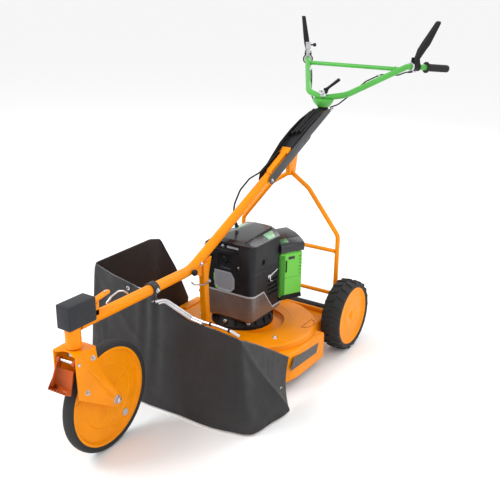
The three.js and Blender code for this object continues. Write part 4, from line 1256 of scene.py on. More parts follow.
# ------------------------------------------------------------------------ guard
@dataclass
class Guard:
    """The cloth guard hung round the deck's front, with its rods, piping and fasteners."""

    hem: float = 0.008
    thick: float = 0.0030
    stations: tuple = (
        (-0.311, -0.250, 0.150, -0.322, -0.262), (-0.311, -0.330, 0.312, -0.338, -0.345),
        (-0.309, -0.420, 0.456, -0.356, -0.440), (-0.306, -0.485, 0.474, -0.364, -0.520),
        (-0.303, -0.640, 0.472, -0.372, -0.660), (-0.312, -0.770, 0.464, -0.374, -0.778),
        (-0.212, -0.784, 0.446, -0.250, -0.800), (-0.110, -0.785, 0.428, -0.130, -0.804),
        (0.0, -0.784, 0.400, 0.0, -0.806), (0.115, -0.783, 0.358, 0.130, -0.804),
        (0.210, -0.781, 0.356, 0.250, -0.796), (0.306, -0.776, 0.344, 0.344, -0.770),
        (0.309, -0.670, 0.284, 0.362, -0.700), (0.311, -0.560, 0.214, 0.374, -0.620),
        (0.311, -0.465, 0.150, 0.372, -0.556),
    )
    columns: int = 168
    rows: int = 34

    def build(self) -> None:
        """Model the guard's pieces in order."""
        cloth = self.cloth()
        rods = self.rods()
        self.piping()
        self.fasteners()
        length, height, area = self.flat_size(cloth)
        log.info("guard cloth: flat %.3f x %.3f m, %.3f square metres", length, height, area)

    def edge(self, t: float) -> tuple[Vector, Vector]:
        """Rim and hem points at a share of the way round."""
        last = len(self.stations) - 1
        place = min(max(t, 0.0), 1.0) * last
        index = min(int(place), last - 1)
        part = place - index
        before, after = self.stations[index], self.stations[index + 1]
        x, y, z, hx, hy = [a + (b - a) * part for a, b in zip(before, after)]
        return Vector((x, at(y), z)), Vector((hx, at(hy), self.hem))

    def inward(self, point: Vector) -> Vector:
        """The level direction from a point of the cloth to the deck's inside."""
        side = max(0.0, min(1.0, (abs(point.x) - 0.25) / 0.055))
        forward = max(0.0, min(1.0, (at(-0.70) - point.y) / 0.07))
        return Vector((-math.copysign(side, point.x), max(forward, 1 - side), 0)).normalized()

    def point(self, t: float, up: float) -> Vector:
        """A point of the hung cloth: along the guard by t, from hem to rim by up."""
        rim, hem = self.edge(t)
        rim_soft = sum((self.edge(t + d)[0] for d in (-0.006, 0, 0.006)), Vector()) / 3
        hem_soft = sum((self.edge(t + d)[1] for d in (-0.02, -0.01, 0, 0.01, 0.02)), Vector()) / 5
        rim = rim_soft if 0.01 < t < 0.99 else rim
        place = hem_soft.lerp(rim, up)
        inner = self.inward(place)
        x = place.x
        hung = 1 - up
        fold = 0.0034 * math.sin(31 * t + 1.2 * math.sin(9 * t)) * math.sin(math.pi * min(1, hung * 0.9 + 0.08)) ** 0.7
        fan = self.corner_creases(t, up)
        pinch = math.exp(-((t - 0.535) / 0.035) ** 2) * 0.006 * math.sin(170 * t + 2 * hung) * up
        belly = 0.010 * math.sin(math.pi * up) * (1 if abs(x) < 0.3 else 0.5)
        curl = 0.004 * math.exp(-((up - 0.03) / 0.05) ** 2) * math.sin(44 * t)
        return place + inner * (0.0045 + belly + fold + fan + pinch + curl + self.wrap_fold(t, up))

    def corner_creases(self, t: float, up: float) -> float:
        """Sharp creases that fan down from the right front corner."""
        depth = 0.0
        for foot, floor, strength in ((0.372, 0.0, 0.007), (0.425, 0.08, 0.006), (0.510, 0.52, 0.005)):
            if up >= floor:
                line = 0.357 + (foot - 0.357) * (1 - up) / (1 - floor)
                fade = math.sin(math.pi * min(1.0, (up - floor) / (1 - floor) * 0.92 + 0.08)) ** 0.6
                depth -= strength * math.exp(-abs(t - line) / 0.009) * fade
        return depth

    def wrap_fold(self, t: float, up: float) -> float:
        """The diagonal fold where the front wraps on to the left side panel."""
        along = (t - 0.786) / 0.214
        if along < 0:
            return 0.0
        past = up - (1 - along)
        span = math.sin(math.pi * min(1.0, along * 0.9 + 0.06)) ** 0.5
        ridge = -0.013 * math.exp(-abs(past) / 0.07) * span
        return ridge + (0.007 * math.sin(math.pi * min(1.0, past)) if past > 0 else 0.0)

    def cloth(self) -> bpy.types.Object:
        """Lay a grid, drop it on the guard's shape and thicken it."""
        clear_bench()
        bpy.ops.mesh.primitive_grid_add(x_subdivisions=self.columns, y_subdivisions=self.rows, size=2,
                                        calc_uvs=True)
        cloth = bpy.context.object
        cloth.name = "cloth"
        flat = [(v.co.x / 2 + 0.5, v.co.y / 2 + 0.5) for v in cloth.data.vertices]
        self.map_threads(cloth, flat)
        for vertex, (t, up) in zip(cloth.data.vertices, flat):
            vertex.co = self.point(t, up)
        modify(cloth, "SOLIDIFY", thickness=self.thick, offset=0.0, use_even_offset=True)
        clean(cloth, 1e-6)
        return finish_piece(cloth, "guard_cloth", "chassis", Slot.CLOTH, CLOTH, ["apron"], 60)

    def map_threads(self, cloth: bpy.types.Object, flat: Sequence[tuple[float, float]]) -> None:
        """Give the cloth a map in metres, so the weave keeps its size."""
        layer = cloth.data.uv_layers.active or cloth.data.uv_layers.new(name="threads")
        for loop in cloth.data.loops:
            t, up = flat[loop.vertex_index]
            layer.data[loop.index].uv = (t * 2.1, up * 0.45)

    def flat_size(self, cloth: bpy.types.Object) -> tuple[float, float, float]:
        """Measure the cloth as it would lie flat.

        Args:
            cloth: the finished cloth.

        Returns:
            Length along the hem, greatest height, and the area of one face.
        """
        steps = self.columns
        hem = [self.point(i / steps, 0.0) for i in range(steps + 1)]
        length = sum((b - a).length for a, b in zip(hem, hem[1:]))
        height = max(sum((self.point(i / steps, (j + 1) / self.rows) - self.point(i / steps, j / self.rows)).length
                         for j in range(self.rows)) for i in range(0, steps + 1, 4))
        area = sum(face.area for face in cloth.data.polygons) / 2
        return round(length, 3), round(height, 3), round(area, 3)

    def rods(self) -> list[bpy.types.Object]:
        """The two zinc rods that carry the cloth's upper edge, an inner rod beside the left one, and ties."""
        left = [Vector((0.007, at(-0.818), FRONT_TUBE_Z - 0.046)), Vector((0.022, at(-0.788), 0.418)),
                Vector((0.115, at(-0.768), 0.372)), Vector((0.160, at(-0.769), 0.368)),
                Vector((0.223, at(-0.768), 0.367)), Vector((0.270, at(-0.768), 0.364)),
                Vector((0.298, at(-0.764), 0.352))]
        right = [Vector((-0.007, at(-0.818), FRONT_TUBE_Z - 0.046)), Vector((-0.034, at(-0.768), 0.414)),
                 Vector((-0.120, at(-0.768), 0.419)), Vector((-0.210, at(-0.768), 0.430)),
                 Vector((-0.286, at(-0.762), 0.442))]
        second = [point + Vector((0.004, -0.0105, -0.002)) for point in left[1:4]]
        second.insert(0, left[0].lerp(left[1], 0.35) + Vector((0.002, -0.006, -0.006)))
        finish_piece(tube("rod", arc_route(second, 0.03, 8), 0.0046, 24), "guard_rod_inner", "chassis", Slot.ZINC,
                     ZINC)
        made = []
        for label, line, node in (("left", left, "apron_rod_left"), ("right", right, "apron_rod_right")):
            piece = tube("rod", arc_route(line, 0.03, 8), 0.0049, 24)
            made.append(finish_piece(piece, f"guard_rod_{label}", "chassis", Slot.ZINC, ZINC, [node]))
        ties = []
        for place in (Vector((0.190, at(-0.7685), 0.3675)), Vector((0.262, at(-0.768), 0.3644)),
                      Vector((-0.160, at(-0.768), 0.4245)), Vector((-0.255, at(-0.765), 0.4362))):
            ties.append(turned("tie", [(0.0050, -0.004), (0.0066, -0.0036), (0.0070, 0.0), (0.0066, 0.0036),
                                       (0.0050, 0.004)], place, Vector((1, 0, -0.05)), 28))
        finish_piece(merge("ties", ties), "rod_ties", "chassis", Slot.BLACK, BLACK)
        return made

    def piping(self) -> None:
        """A bound edge along the rim and a double-stitched hem."""
        steps = 150
        rim = [self.point(i / steps, 1.0) + Vector((0, 0, 0.0012)) for i in range(steps + 1)]
        finish_piece(tube("piping", rim, 0.0026, 12), "guard_piping", "chassis", Slot.GLOSS_BLACK, GLOSS_BLACK)
        rows = []
        for up in (0.028, 0.045):
            for i in range(4, steps - 4):
                t = i / steps
                place, ahead = self.point(t, up), self.point(t + 0.55 / steps, up)
                out = -self.inward(place) * (self.thick / 2 + 0.0001)
                rows.append(tube("stitch", [place + out, ahead + out], 0.0005, 6))
        finish_piece(merge("stitches", rows), "hem_stitches", "chassis", Slot.CLOTH, GREY_THREAD)

    def fasteners(self) -> None:
        """Press studs along the rim, dark with a bright rim."""
        domes, plates = [], []
        for t, up in ((0.955, 0.42), (0.045, 0.42), (0.475, 0.955), (0.175, 0.955)):
            place = self.point(t, up)
            out = -self.inward(place)
            seat = place + out * (self.thick / 2)
            plates.append(turned("washer", [(0.0, 0.0), (0.0070, 0.0), (0.0073, 0.0008), (0.0058, 0.0016),
                                            (0.0, 0.0016)], seat, out, 28))
            domes.append(turned("dome", [(0.0, 0.0014), (0.0042, 0.0014), (0.0038, 0.0030), (0.0022, 0.0040),
                                         (0.0, 0.0043)], seat, out, 24))
        finish_piece(merge("washers", plates), "stud_washers", "chassis", Slot.ZINC, ZINC)
        finish_piece(merge("domes", domes), "stud_domes", "chassis", Slot.GLOSS_BLACK, GLOSS_BLACK)


# ------------------------------------------------------------------------ motor
def motor_outline(half: float, corner: float, round_by: float = 0.006) -> list[tuple[float, float]]:
    """The motor's eight-cornered outline in (x, y) with softened corners.

    Args:
        half: half the width.
        corner: how much each corner is cut.
        round_by: length that each corner's softening takes from its sides.

    Returns:
        Corners in turning order.
    """
    side, near = half - corner, half - corner * 0.4
    raw = [(half, -near), (half, side), (side, half), (-side, half), (-half, side), (-half, -side),
           (-side, -half), (near, -half)]
    corners = []
    for before, here, after in zip(raw[-1:] + raw[:-1], raw, raw[1:] + raw[:1]):
        a, b, c = Vector(before), Vector(here), Vector(after)
        start = b + (a - b).normalized() * round_by
        end = b + (c - b).normalized() * round_by
        for t in (0.0, 0.25, 0.5, 0.75, 1.0):
            mid = start * (1 - t) ** 2 + b * 2 * t * (1 - t) + end * t * t
            corners.append((mid.x, mid.y + CUTTER.y))
    return corners


@dataclass
class Battery:
    """The battery pack, its bay and its hinged cap, turned on the motor's rear left corner."""

    face: Point = (0.1505, at(-0.191), 0.0)
    turn_deg: float = -27.0
    depth: float = 0.118
    half_w: float = 0.050
    low: float = 0.250
    high: float = 0.430

    def __post_init__(self) -> None:
        """Set up the pack's own directions."""
        self.place = Matrix.Translation(self.face) @ Matrix.Rotation(math.radians(self.turn_deg), 4, "Z")

    def build(self) -> None:
        """Model the battery's pieces in order."""
        self.pack()
        self.trim()
        self.bay()
        self.flap()

    def way(self, low: float, high: float, play: float = 0.005) -> bpy.types.Object:
        """The room that the pack needs in the motor's shells."""
        return self.turned_block("way", (-self.depth - 0.014, -self.half_w - play, low),
                                 (0.160, self.half_w + play, high))

    def turned_block(self, name: str, low: Point, high: Point, round_by: float = 0,
                     segments: int = 3) -> bpy.types.Object:
        """A block in the pack's directions: outward, along the face, up."""
        piece = block(name, low, high, round_by, segments)
        piece.matrix_world = self.place @ piece.matrix_world
        return settle(piece)

    def pack(self) -> None:
        """The lime case with a chamfered edge, a panel line and side slots."""
        case = block("case", (-self.depth, -self.half_w, self.low), (0, self.half_w, self.high), 0.006, 4)
        top = block("top", (-self.depth + 0.008, -self.half_w + 0.006, self.high - 0.002),
                    (-0.004, self.half_w - 0.006, self.high + 0.0028), 0.0015)
        carve(case, top, add=True)
        grooves = [block("groove", (-0.0012, -0.030, 0.262), (0.004, -0.0285, 0.424)),
                   block("groove", (-0.004, -self.half_w - 0.002, 0.330), (0.004, 0.052, 0.3312))]
        slots = [block("slot", (-0.0060, -0.0270, 0.352 + 0.0), (0.004, -0.0190, 0.402), 0.0012),
                 *[block("slot", (-0.0050, 0.0330, 0.338 + 0.014 * i), (0.004, 0.0440, 0.3455 + 0.014 * i), 0.001)
                   for i in range(6)],
                 *[block("slot", (-0.0050, -0.0465, 0.286 + 0.016 * i), (0.004, -0.0385, 0.2925 + 0.016 * i), 0.001)
                   for i in range(8)]]
        carve(case, *grooves, *slots)
        clean(case, 1e-5)
        case.matrix_world = self.place
        finish_piece(case, "battery_case", "battery", Slot.LIME, LIME, ["battery"], 30)

    def trim(self) -> None:
        """Dark strips, the black foot and the charge window."""
        strip = self.turned_block("strip", (0.0, -self.half_w + 0.0008, 0.262), (0.0010, -0.0305, 0.424), 0.0004, 2)
        finish_piece(strip, "battery_strip", "battery", Slot.LIME, DEEP_LIME)
        foot = self.turned_block("foot", (-0.010, -self.half_w + 0.004, self.low + 0.0006),
                                 (0.0012, self.half_w - 0.004, self.low + 0.0110), 0.0004, 2)
        inner = self.turned_block("slit", (-0.006, -0.0265, 0.3525), (-0.0020, -0.0195, 0.4015), 0.0008, 2)
        dark = merge("dark", [foot, inner])
        finish_piece(dark, "battery_foot", "battery", Slot.BLACK, BLACK)
        window = self.turned_block("window", (-0.0004, -0.0140, 0.404), (0.0012, 0.0140, 0.4155), 0.0006, 2)
        finish_piece(window, "charge_window", "battery", Slot.GLOSS_BLACK, GLOSS_BLACK)

    def bay(self) -> None:
        """The black bracket that the pack stands in."""
        floor = self.turned_block("floor", (-self.depth - 0.012, -self.half_w - 0.003, self.low - 0.012),
                                  (-0.004, self.half_w + 0.003, self.low - 0.0003), 0.002)
        back = self.turned_block("back", (-self.depth - 0.012, -self.half_w - 0.003, self.low - 0.012),
                                 (-self.depth - 0.002, self.half_w + 0.003, self.high), 0.002)
        bay = carve(floor, back, add=True)
        room = plate("room", motor_outline(0.127, 0.042), 0.2, 0.6)
        carve(bay, room)
        finish_piece(clean(bay, 1e-5), "battery_seat", "chassis", Slot.BLACK, BLACK, ["battery_bay"])

    def flap(self) -> None:
        """The hooded cap with a grip lip, and the inlay on it."""
        d, high, half = self.depth, self.high, self.half_w + 0.003
        profile = [(-d - 0.008, high + 0.005), (0.0055, high + 0.005), (0.0070, high + 0.0065), (0.0088, high + 0.028),
                   (0.0070, high + 0.034), (0.0, high + 0.0405), (-0.028, high + 0.0515), (-0.062, high + 0.0590),
                   (-d + 0.010, high + 0.0600), (-d - 0.004, high + 0.0598), (-d - 0.0105, high + 0.0550),
                   (-d - 0.012, high + 0.048)]
        cap = loft("cap", [[Vector((a, t, b)) for a, b in profile] for t in (-half, half)])
        soften(cap, 0.0035, 4, 60)
        hollow = block("hollow", (-d + 0.004, -half + 0.006, high + 0.004), (-0.002, half - 0.006, high + 0.030))
        notch = block("notch", (0.0035, -0.020, high), (0.02, 0.020, high + 0.011), 0.001)
        carve(cap, hollow, notch)
        carve(cap, block("groove", (-0.0295, -half - 0.01, high + 0.0460), (-0.0275, half + 0.01, high + 0.0760)))
        cap.matrix_world = self.place
        finish_piece(clean(cap, 1e-5), "battery_cap", "battery_flap", Slot.GLOSS_BLACK, GLOSS_BLACK,
                     ["battery_flap"], 30)
        rings = [[self.place @ Vector((a, t, high + 0.0415 + (-0.001 - a) * 0.383 + lift))
                  for a, t in ((-0.003, -half + 0.006), (-0.003, -0.012), (-0.026, -0.012), (-0.026, -half + 0.006))]
                 for lift in (-0.002, 0.0012)]
        patch = soften(loft("patch", rings), 0.0004, 2, 40)
        finish_piece(patch, "cap_inlay", "battery_flap", Slot.LIME, DEEP_GREEN)


@dataclass
class Motor:
    """The motor tower: base, smoky shroud, charcoal housing, grille panel and faceted lid."""

    battery: Battery
    half: float = 0.123
    corner: float = 0.042
    shroud_low: float = 0.206
    housing_high: float = 0.506
    seam_front: float = 0.318
    seam_rear: float = 0.238

    def build(self) -> None:
        """Model the motor's pieces in order."""
        self.base()
        self.shroud()
        self.housing()
        self.grille()
        self.lid()
        self.fittings()

    def upright(self, name: str, profile: Outline, steps: int = 80) -> bpy.types.Object:
        """A body turned about the motor's axis."""
        return turned(name, profile, Vector((0, CUTTER.y, 0)), Vector((0, 0, 1)), steps)

    def base(self) -> None:
        """The black mounting ring with cooling vanes."""
        ring = self.upright("base", [(0.0222, 0.1623), (0.119, 0.1623), (0.120, 0.1635), (0.120, 0.1745),
                                     (0.118, 0.1765), (0.1085, 0.2045), (0.1070, 0.2057), (0.0222, 0.2057)])
        vanes = [block("vane", (-0.0025, 0.100, 0.1625), (0.0025, 0.1195, 0.1985), 0.0008, 2) for _ in range(18)]
        for index, vane in enumerate(vanes):
            vane.matrix_world = Matrix.Translation((0, CUTTER.y, 0)) @ Matrix.Rotation(
                2 * math.pi * index / 18, 4, "Z") @ vane.matrix_world
            settle(vane)
        piece = merge("base", [ring, *vanes])
        finish_piece(piece, "motor_foot", "chassis", Slot.BLACK, BLACK, ["motor_base"])

    def under_seam(self, lift: float) -> bpy.types.Object:
        """Everything below the line where the case meets the shroud: level in front, slanting down behind."""
        y0 = CUTTER.y
        line = [(y0 - 0.2, self.seam_front), (y0 - 0.046, self.seam_front), (y0 + 0.015, self.seam_rear),
                (y0 + 0.2, self.seam_rear)]
        outline = [(y0 + 0.2, 0.1), (y0 - 0.2, 0.1), *[(y, z + lift) for y, z in line]]
        return plate("under", outline, -0.2, 0.2, Axis.X)

    def keep_under(self, piece: bpy.types.Object, lift: float) -> bpy.types.Object:
        """Trim a piece to what lies below the seam."""
        tool = self.under_seam(lift)
        modify(piece, "BOOLEAN", object=tool, operation="INTERSECT", solver="EXACT")
        bpy.data.objects.remove(tool)
        return piece

    def shroud(self) -> None:
        """The smoky eight-sided band round the stator, with its pale rim."""
        rings = [[Vector((x, y, z)) for x, y in motor_outline(half, cut, 0.010)]
                 for z, half, cut in ((0.2062, 0.112, 0.036), (0.2075, 0.1135, 0.036), (0.2165, 0.1200, 0.036),
                                      (0.2350, 0.1225, 0.036), (0.2900, 0.1240, 0.036), (0.3300, 0.1240, 0.036))]
        band = self.keep_under(loft("shroud", rings), -0.0003)
        room = self.upright("room", [(0.0, 0.19), (0.0925, 0.19), (0.0925, 0.330), (0.0, 0.330)], 64)
        carve(band, room, self.battery.way(self.battery.low - 0.0123, 0.6))
        finish_piece(clean(band, 1e-5), "motor_shroud_shell", "chassis", Slot.SMOKE, SMOKE, ["motor_shroud"], 28)
        rim = self.keep_under(plate("rim", motor_outline(0.1256, 0.0367, 0.010), 0.21, 0.33), -0.0006)
        inner = plate("inner", motor_outline(0.1236, 0.0359, 0.010), 0.2, 0.34)
        carve(rim, inner, self.under_seam(-0.0062), self.battery.way(self.battery.low - 0.0123, 0.6))
        finish_piece(clean(rim, 1e-5), "shroud_rim", "chassis", Slot.GREY, PALE_GREY)

    def housing(self) -> None:
        """The eight-sided case: tongue at the sides, recesses under the brim, louvres and pits."""
        body = plate("housing", motor_outline(self.half, self.corner, 0.010), self.seam_rear, self.housing_high)
        soften(body, 0.0035, 3, 50)
        front = CUTTER.y - self.half
        room = self.upright("room", [(0.0, 0.20), (0.092, 0.20), (0.092, 0.330), (0.0, 0.330)], 48)
        carve(body, room, self.battery.way(self.battery.low - 0.0123, 0.6), self.under_seam(0.0))
        carve(body, block("recess", (-0.0980, front - 0.01, 0.4720), (0.0640, front + 0.012, 0.5030), 0.003, 3))
        step = block("step", (-0.0300, front - 0.03, 0.4050), (0.0300, front + 0.009, 0.4640), 0.004, 3)
        carve(body, step)
        for index in range(4):
            z = 0.291 + 0.0175 * index
            slit = plate("slit", [(-0.086, z), (-0.020, z - 0.003), (-0.020, z + 0.006), (-0.086, z + 0.009)],
                         self.half - 0.007, self.half + 0.01, Axis.X)
            carve(body, slit)
        for x, z, r in ((0.058, 0.418, 0.0095), (0.058, 0.345, 0.004), (-0.052, 0.440, 0.012)):
            carve(body, rod("pit", Vector((x, front - 0.01, z)), Vector((x, front + 0.006, z)), r, 28))
        lean = Vector((1, -1, 0)).normalized()
        middle = Vector((0.102, front + 0.021, 0.4300))
        carve(body, rod("pit", middle - lean * 0.007, middle + lean * 0.01, 0.012, 32))
        side_pit = Vector((self.half, CUTTER.y - 0.050, 0.4330))
        carve(body, rod("pit", side_pit - Vector((0.006, 0, 0)), side_pit + Vector((0.01, 0, 0)), 0.010, 28))
        for index in range(7):
            z = 0.322 + 0.014 * index
            carve(body, block("vent", (-0.060, CUTTER.y + self.half - 0.006, z),
                              (0.020, CUTTER.y + self.half + 0.006, z + 0.006), 0.0015, 2),
                  block("vent", (-self.half - 0.006, CUTTER.y - 0.050, z), (-self.half + 0.006, CUTTER.y + 0.050,
                                                                         z + 0.006), 0.0015, 2))
        carve(body, plate("slope", [(-0.14, 0.4160), (-0.106, 0.4683), (-0.044, 0.5062), (-0.044, 0.6), (-0.14, 0.6)],
                          CUTTER.y - 0.14, CUTTER.y + 0.14, Axis.Y))
        finish_piece(clean(body, 1e-5), "motor_case", "chassis", Slot.BLACK, CHARCOAL, ["motor_housing"], 28)

    def grille(self) -> None:
        """The grey air panel: bevelled rim, honeycomb and its lime tab."""
        front = CUTTER.y - self.half
        outline = [(-0.042, 0.334), (-0.026, 0.318), (0.030, 0.318), (0.046, 0.336), (0.046, 0.374), (0.030, 0.396),
                   (-0.042, 0.396)]
        frame_plate = plate("grille", [(x, z) for x, z in outline], front - 0.0042, front - 0.0003, Axis.Y)
        edit(frame_plate, lambda place, normal: normal.y < -0.9)
        bpy.ops.mesh.inset(thickness=0.0045, depth=0)
        bpy.ops.mesh.inset(thickness=0.0012, depth=-0.0022)
        close_edit()
        holes = []
        pitch = 0.0052
        for row in range(-8, 9):
            for column in range(-10, 11):
                x = 0.002 + column * pitch + (pitch / 2 if row % 2 else 0)
                z = 0.357 + row * pitch * 0.866
                if self.inside(outline, x, z, 0.0085):
                    holes.append(Vector((x, front, z)))
        cutters = [loft("hole", [ring_points(p + Vector((0, d, 0)), Vector((0, 1, 0)), 0.0021, 6, math.pi / 6)
                                 for d in (-0.006, -0.0008)]) for p in holes]
        carve(frame_plate, merge("holes", cutters))
        finish_piece(clean(frame_plate, 1e-6), "air_panel", "chassis", Slot.GREY, GREY, ["grille_panel"], 25)
        tab = block("tab", (-0.0455, front - 0.0040, 0.352), (-0.0422, front - 0.0002, 0.380), 0.0008)
        low = block("tab", (-0.0365, front - 0.0052, 0.3235), (-0.0285, front - 0.0020, 0.3300), 0.0006)
        finish_piece(merge("tabs", [tab, low]), "air_panel_tabs", "chassis", Slot.LIME, LIME)

    def inside(self, outline: Outline, x: float, z: float, margin: float) -> bool:
        """Tell whether a point lies inside a convex outline, away from its edge."""
        for (x0, z0), (x1, z1) in zip(outline, [*outline[1:], outline[0]]):
            edge = Vector((x1 - x0, z1 - z0)).normalized()
            if edge.x * (z - z0) - edge.y * (x - x0) < margin:
                return False
        return True

    def lid(self) -> None:
        """The flat faceted hood: two crossing roof profiles with softened ridges, and its ridge bar."""
        low = self.housing_high + 0.0003
        y0 = CUTTER.y
        along = plate("lid", [(y0 - 0.128, low - 0.06), (y0 + 0.122, low - 0.06), (y0 + 0.122, low + 0.004),
                              (y0 + 0.085, low + 0.0235), (y0 - 0.020, low + 0.0215), (y0 - 0.110, low + 0.0140),
                              (y0 - 0.128, low + 0.0060)], -0.130, 0.130, Axis.X)
        across = plate("across", [(-0.106, low - 0.0380), (-0.0440, low), (0.128, low), (0.128, low + 0.0020),
                                  (0.088, low + 0.0190), (0.010, low + 0.0260), (-0.052, low + 0.0120),
                                  (-0.106, low - 0.0270)], y0 - 0.14, y0 + 0.14, Axis.Y)
        cut_round = plate("round", motor_outline(0.127, 0.046, 0.010), low - 0.07, 0.6)
        for tool in (across, cut_round):
            modify(along, "BOOLEAN", object=tool, operation="INTERSECT", solver="EXACT")
            bpy.data.objects.remove(tool)
        carve(along, self.battery.way(0.40, 0.70))
        clean(along, 1e-5)
        soften(along, 0.0020, 3, 12)
        finish_piece(along, "motor_hood", "chassis", Slot.BLACK, GLOSS_BLACK, ["motor_lid"], 30)
        bar_line = [Vector((0.088, y0 - 0.114, low + 0.0120)), Vector((0.088, y0 - 0.020, low + 0.0190)),
                    Vector((0.082, y0 + 0.066, low + 0.0200))]
        finish_piece(tube("bar", arc_route(bar_line, 0.02, 5), 0.0042, 20), "hood_bar", "chassis", Slot.BLACK, BLACK)

    def hood_patch(self, name: str, corners: Sequence[tuple[float, float]], lift: Callable[[float, float], float],
                   slot: Slot, finish: Finish) -> None:
        """Lay a thin inlay on a sloped facet.

        Args:
            name: the inlay's name.
            corners: its outline in (x, y).
            lift: gives the facet's height at (x, y).
            slot: the record slot.
            finish: the finish.
        """
        rings = [[Vector((x, y, lift(x, y) + h)) for x, y in corners] for h in (-0.002, 0.0012)]
        inlay = soften(loft("inlay", rings), 0.0005, 2, 40)
        finish_piece(inlay, name, "chassis", slot, finish)

    def fittings(self) -> None:
        """Inlays on the hood, toggle latch, bolts, boss, side bracket and seam."""
        low = self.housing_high + 0.0003
        y0, front = CUTTER.y, CUTTER.y - self.half

        def right_slope(x: float, y: float) -> float:
            return low + 0.0020 + (0.128 - x) * 0.425

        def left_slope(x: float, y: float) -> float:
            return low + 0.0120 + (x + 0.052) * (0.014 / 0.062)

        self.hood_patch("hood_inlay_pale", [(0.094, y0 - 0.010), (0.123, y0 - 0.016), (0.123, y0 + 0.030),
                                            (0.094, y0 + 0.052)], right_slope, Slot.LIME, PALE_GREEN)
        self.hood_patch("hood_inlay_far", [(-0.046, y0 + 0.000), (-0.018, y0 + 0.000), (-0.018, y0 + 0.070),
                                           (-0.046, y0 + 0.070)], left_slope, Slot.LIME, PALE_GREEN)
        bar = rod("bar", Vector((self.half + 0.0030, -0.084, 0.3640)), Vector((self.half + 0.0030, -0.024, 0.3790)),
                  0.0030, 20, 0.001)
        hook = tube("hook", arc_route([Vector((self.half + 0.0035, -0.074, 0.3660)),
                                       Vector((self.half + 0.0060, -0.080, 0.3500)),
                                       Vector((self.half + 0.0060, -0.064, 0.3440))], 0.006, 5), 0.0024, 16)
        foot = block("foot", (self.half - 0.0015, -0.090, 0.3590), (self.half + 0.0040, -0.070, 0.3720), 0.001, 2)
        finish_piece(merge("latch", [bar, hook, foot]), "case_latch", "chassis", Slot.ZINC, ZINC)
        seam = plate("seam", motor_outline(0.1236, 0.042, 0.010), 0.3990, 0.4010)
        carve(seam, self.battery.way(self.battery.low - 0.0123, 0.6))
        finish_piece(seam, "case_seam", "chassis", Slot.GLOSS_BLACK, GLOSS_BLACK)
        knob = turned("knob", [(0.0, -0.002), (0.0125, -0.002), (0.0125, 0.0040), (0.0105, 0.0060), (0.0, 0.0064)],
                      Vector((-0.004, front + 0.009, 0.4380)), Vector((0, -1, 0)), 40)
        finish_piece(knob, "case_knob", "chassis", Slot.BLACK, BLACK)
        bolts = [hex_bolt("bolt", Vector((-0.016, front + 0.012, 0.4880)), Vector((0, -1, 0)), 0.0085, 0.001),
                 hex_bolt("bolt", Vector((0.058, front + 0.006, 0.418)), Vector((0, -1, 0)), 0.0080, 0.001)]
        bolts += [hex_bolt("bolt", Vector((x, y0 + y, 0.1925)), Vector((x, y, 0.03)).normalized(), 0.010, 0.001)
                  for x, y in ((0.0, -0.1175), (0.083, -0.0830), (-0.083, -0.0830))]
        finish_piece(merge("bolts", bolts), "case_bolts", "chassis", Slot.ZINC, ZINC)
        strip = block("strip", (0.0060, front + 0.0080, 0.4850), (0.0560, front + 0.0122, 0.4935), 0.001)
        finish_piece(strip, "recess_strip", "chassis", Slot.GREY, PALE_GREY)


